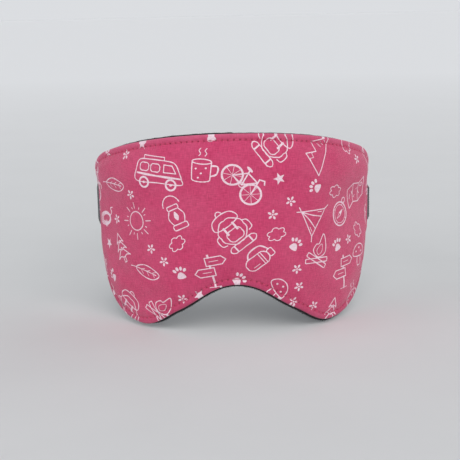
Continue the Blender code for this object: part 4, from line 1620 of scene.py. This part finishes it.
def make_floor():
    """Studio floor, so wide that its far edge meets the backdrop."""
    radii = [0.0, 0.4, 1.0, 3.0, 10.0, 40.0]
    sides = 64
    points = [(0.0, 0.0, FLOOR_AT)]
    faces = []
    for radius in radii[1:]:
        for side in range(sides):
            angle = 2 * math.pi * side / sides
            points.append((radius * math.cos(angle), radius * math.sin(angle), FLOOR_AT))
    for side in range(sides):
        faces.append([0, 1 + side, 1 + (side + 1) % sides])
    loops = [[1 + ring * sides + side for side in range(sides)] for ring in range(len(radii) - 1)]
    for here, there in zip(loops, loops[1:]):
        faces += bridge(here, there)
    made, tree, shader = start_material("studio_floor", 0.9)
    place = node(tree, "ShaderNodeTexCoord")["Object"]
    grain = noise(tree, place, 9.0, 4.0)
    paper = blend_colour(tree, grain, (0.66, 0.665, 0.67, 1.0), (0.71, 0.715, 0.72, 1.0))
    # Painted light: the floor is made paler further from the middle, brightening towards the backdrop.
    away = node(tree, "ShaderNodeVectorMath", {0: place}, operation="LENGTH")[1]
    paper = blend_colour(tree, spread(tree, away, 0.2, 2.5), paper, (0.83, 0.835, 0.85, 1.0))
    tree.links.new(paper, shader.inputs["Base Color"])
    put_mesh("studio_floor", points, faces, (made,))


def add_sun(name, origin, strength, softness, colour):
    light = bpy.data.lights.new(name, "SUN")
    light.energy = strength
    light.angle = math.radians(softness)
    light.color = colour
    obj = bpy.data.objects.new(name, light)
    obj.rotation_euler = Vector(origin).to_track_quat("Z", "Y").to_euler()
    bpy.context.scene.collection.objects.link(obj)


def make_lights():
    add_sun("key_light", (0.20, -0.80, 0.62), 1.60, 55.0, (1.0, 0.985, 0.97))
    add_sun("left_light", (-0.90, -0.35, 0.40), 0.62, 60.0, (0.98, 0.99, 1.0))
    add_sun("back_light", (0.80, 0.45, 0.55), 0.45, 60.0, (0.97, 0.985, 1.0))
    world = bpy.data.worlds.new("studio")
    world.use_nodes = True
    tree = world.node_tree
    direction = node(tree, "ShaderNodeTexCoord")["Generated"]
    height = node(tree, "ShaderNodeSeparateXYZ", {0: direction})[2]
    colour = blend_colour(tree, spread(tree, height, 0.05, 0.8), BACKDROP, SKY)
    tree.links.new(colour, tree.nodes["Background"].inputs["Color"])
    bpy.context.scene.world = world
    bpy.context.scene.view_settings.view_transform = "Standard"


def make_camera():
    elevation, yaw, roll = math.radians(11.43), math.radians(0.91), math.radians(-1.26)
    distance = 0.6206
    target = Vector((-0.0033, -0.098, 0.00136))
    ahead = Vector((math.sin(yaw) * math.cos(elevation), math.cos(yaw) * math.cos(elevation),
                    -math.sin(elevation)))
    level = Vector((math.cos(yaw), -math.sin(yaw), 0.0))
    upright = level.cross(ahead)
    right = math.cos(roll) * level + math.sin(roll) * upright
    up = math.cos(roll) * upright - math.sin(roll) * level
    camera = bpy.data.cameras.new("photo_camera")
    camera.lens = 84.9
    camera.sensor_width = 36.0
    camera.clip_start = 0.01
    camera.dof.use_dof = False
    obj = bpy.data.objects.new("photo_camera", camera)
    obj.matrix_world = Matrix.Translation(target - distance * ahead) @ Matrix(
        (right, up, -ahead)).transposed().to_4x4()
    bpy.context.scene.collection.objects.link(obj)
    bpy.context.scene.camera = obj


def main():
    cotton, ink = cotton_materials()
    fleece = fleece_material()
    elastic = elastic_material()
    nickel = nickel_material()
    pink_thread = thread_material("thread_pink", THREAD_PINK, (0.74, 0.12, 0.24, 1.0))
    black_thread = thread_material("thread_black", (0.010, 0.010, 0.011, 1.0), (0.05, 0.05, 0.055, 1.0))
    simulate_puffing()
    make_front_cloth(cotton, ink)
    make_lining(fleece)
    make_edge_fibres(fleece)
    make_wadding(wadding_material())
    make_stitches("topstitching", "needle_thread", "pink_thread", pink_thread,
                  lambda flat: cotton_out(flat, holes=False), 1)
    make_stitches("lining_stitching", "bobbin_thread", "black_thread", black_thread, fleece_out, -1)
    make_elastic("head_strap", strap_path(), elastic, "mask", ["strap_elastic"])
    make_doubled_end(elastic)
    make_tab(elastic)
    make_end_fold(elastic)
    make_bar_tack(black_thread)
    make_ring(nickel)
    make_slider(nickel)
    make_floor()
    make_lights()
    make_camera()


main()
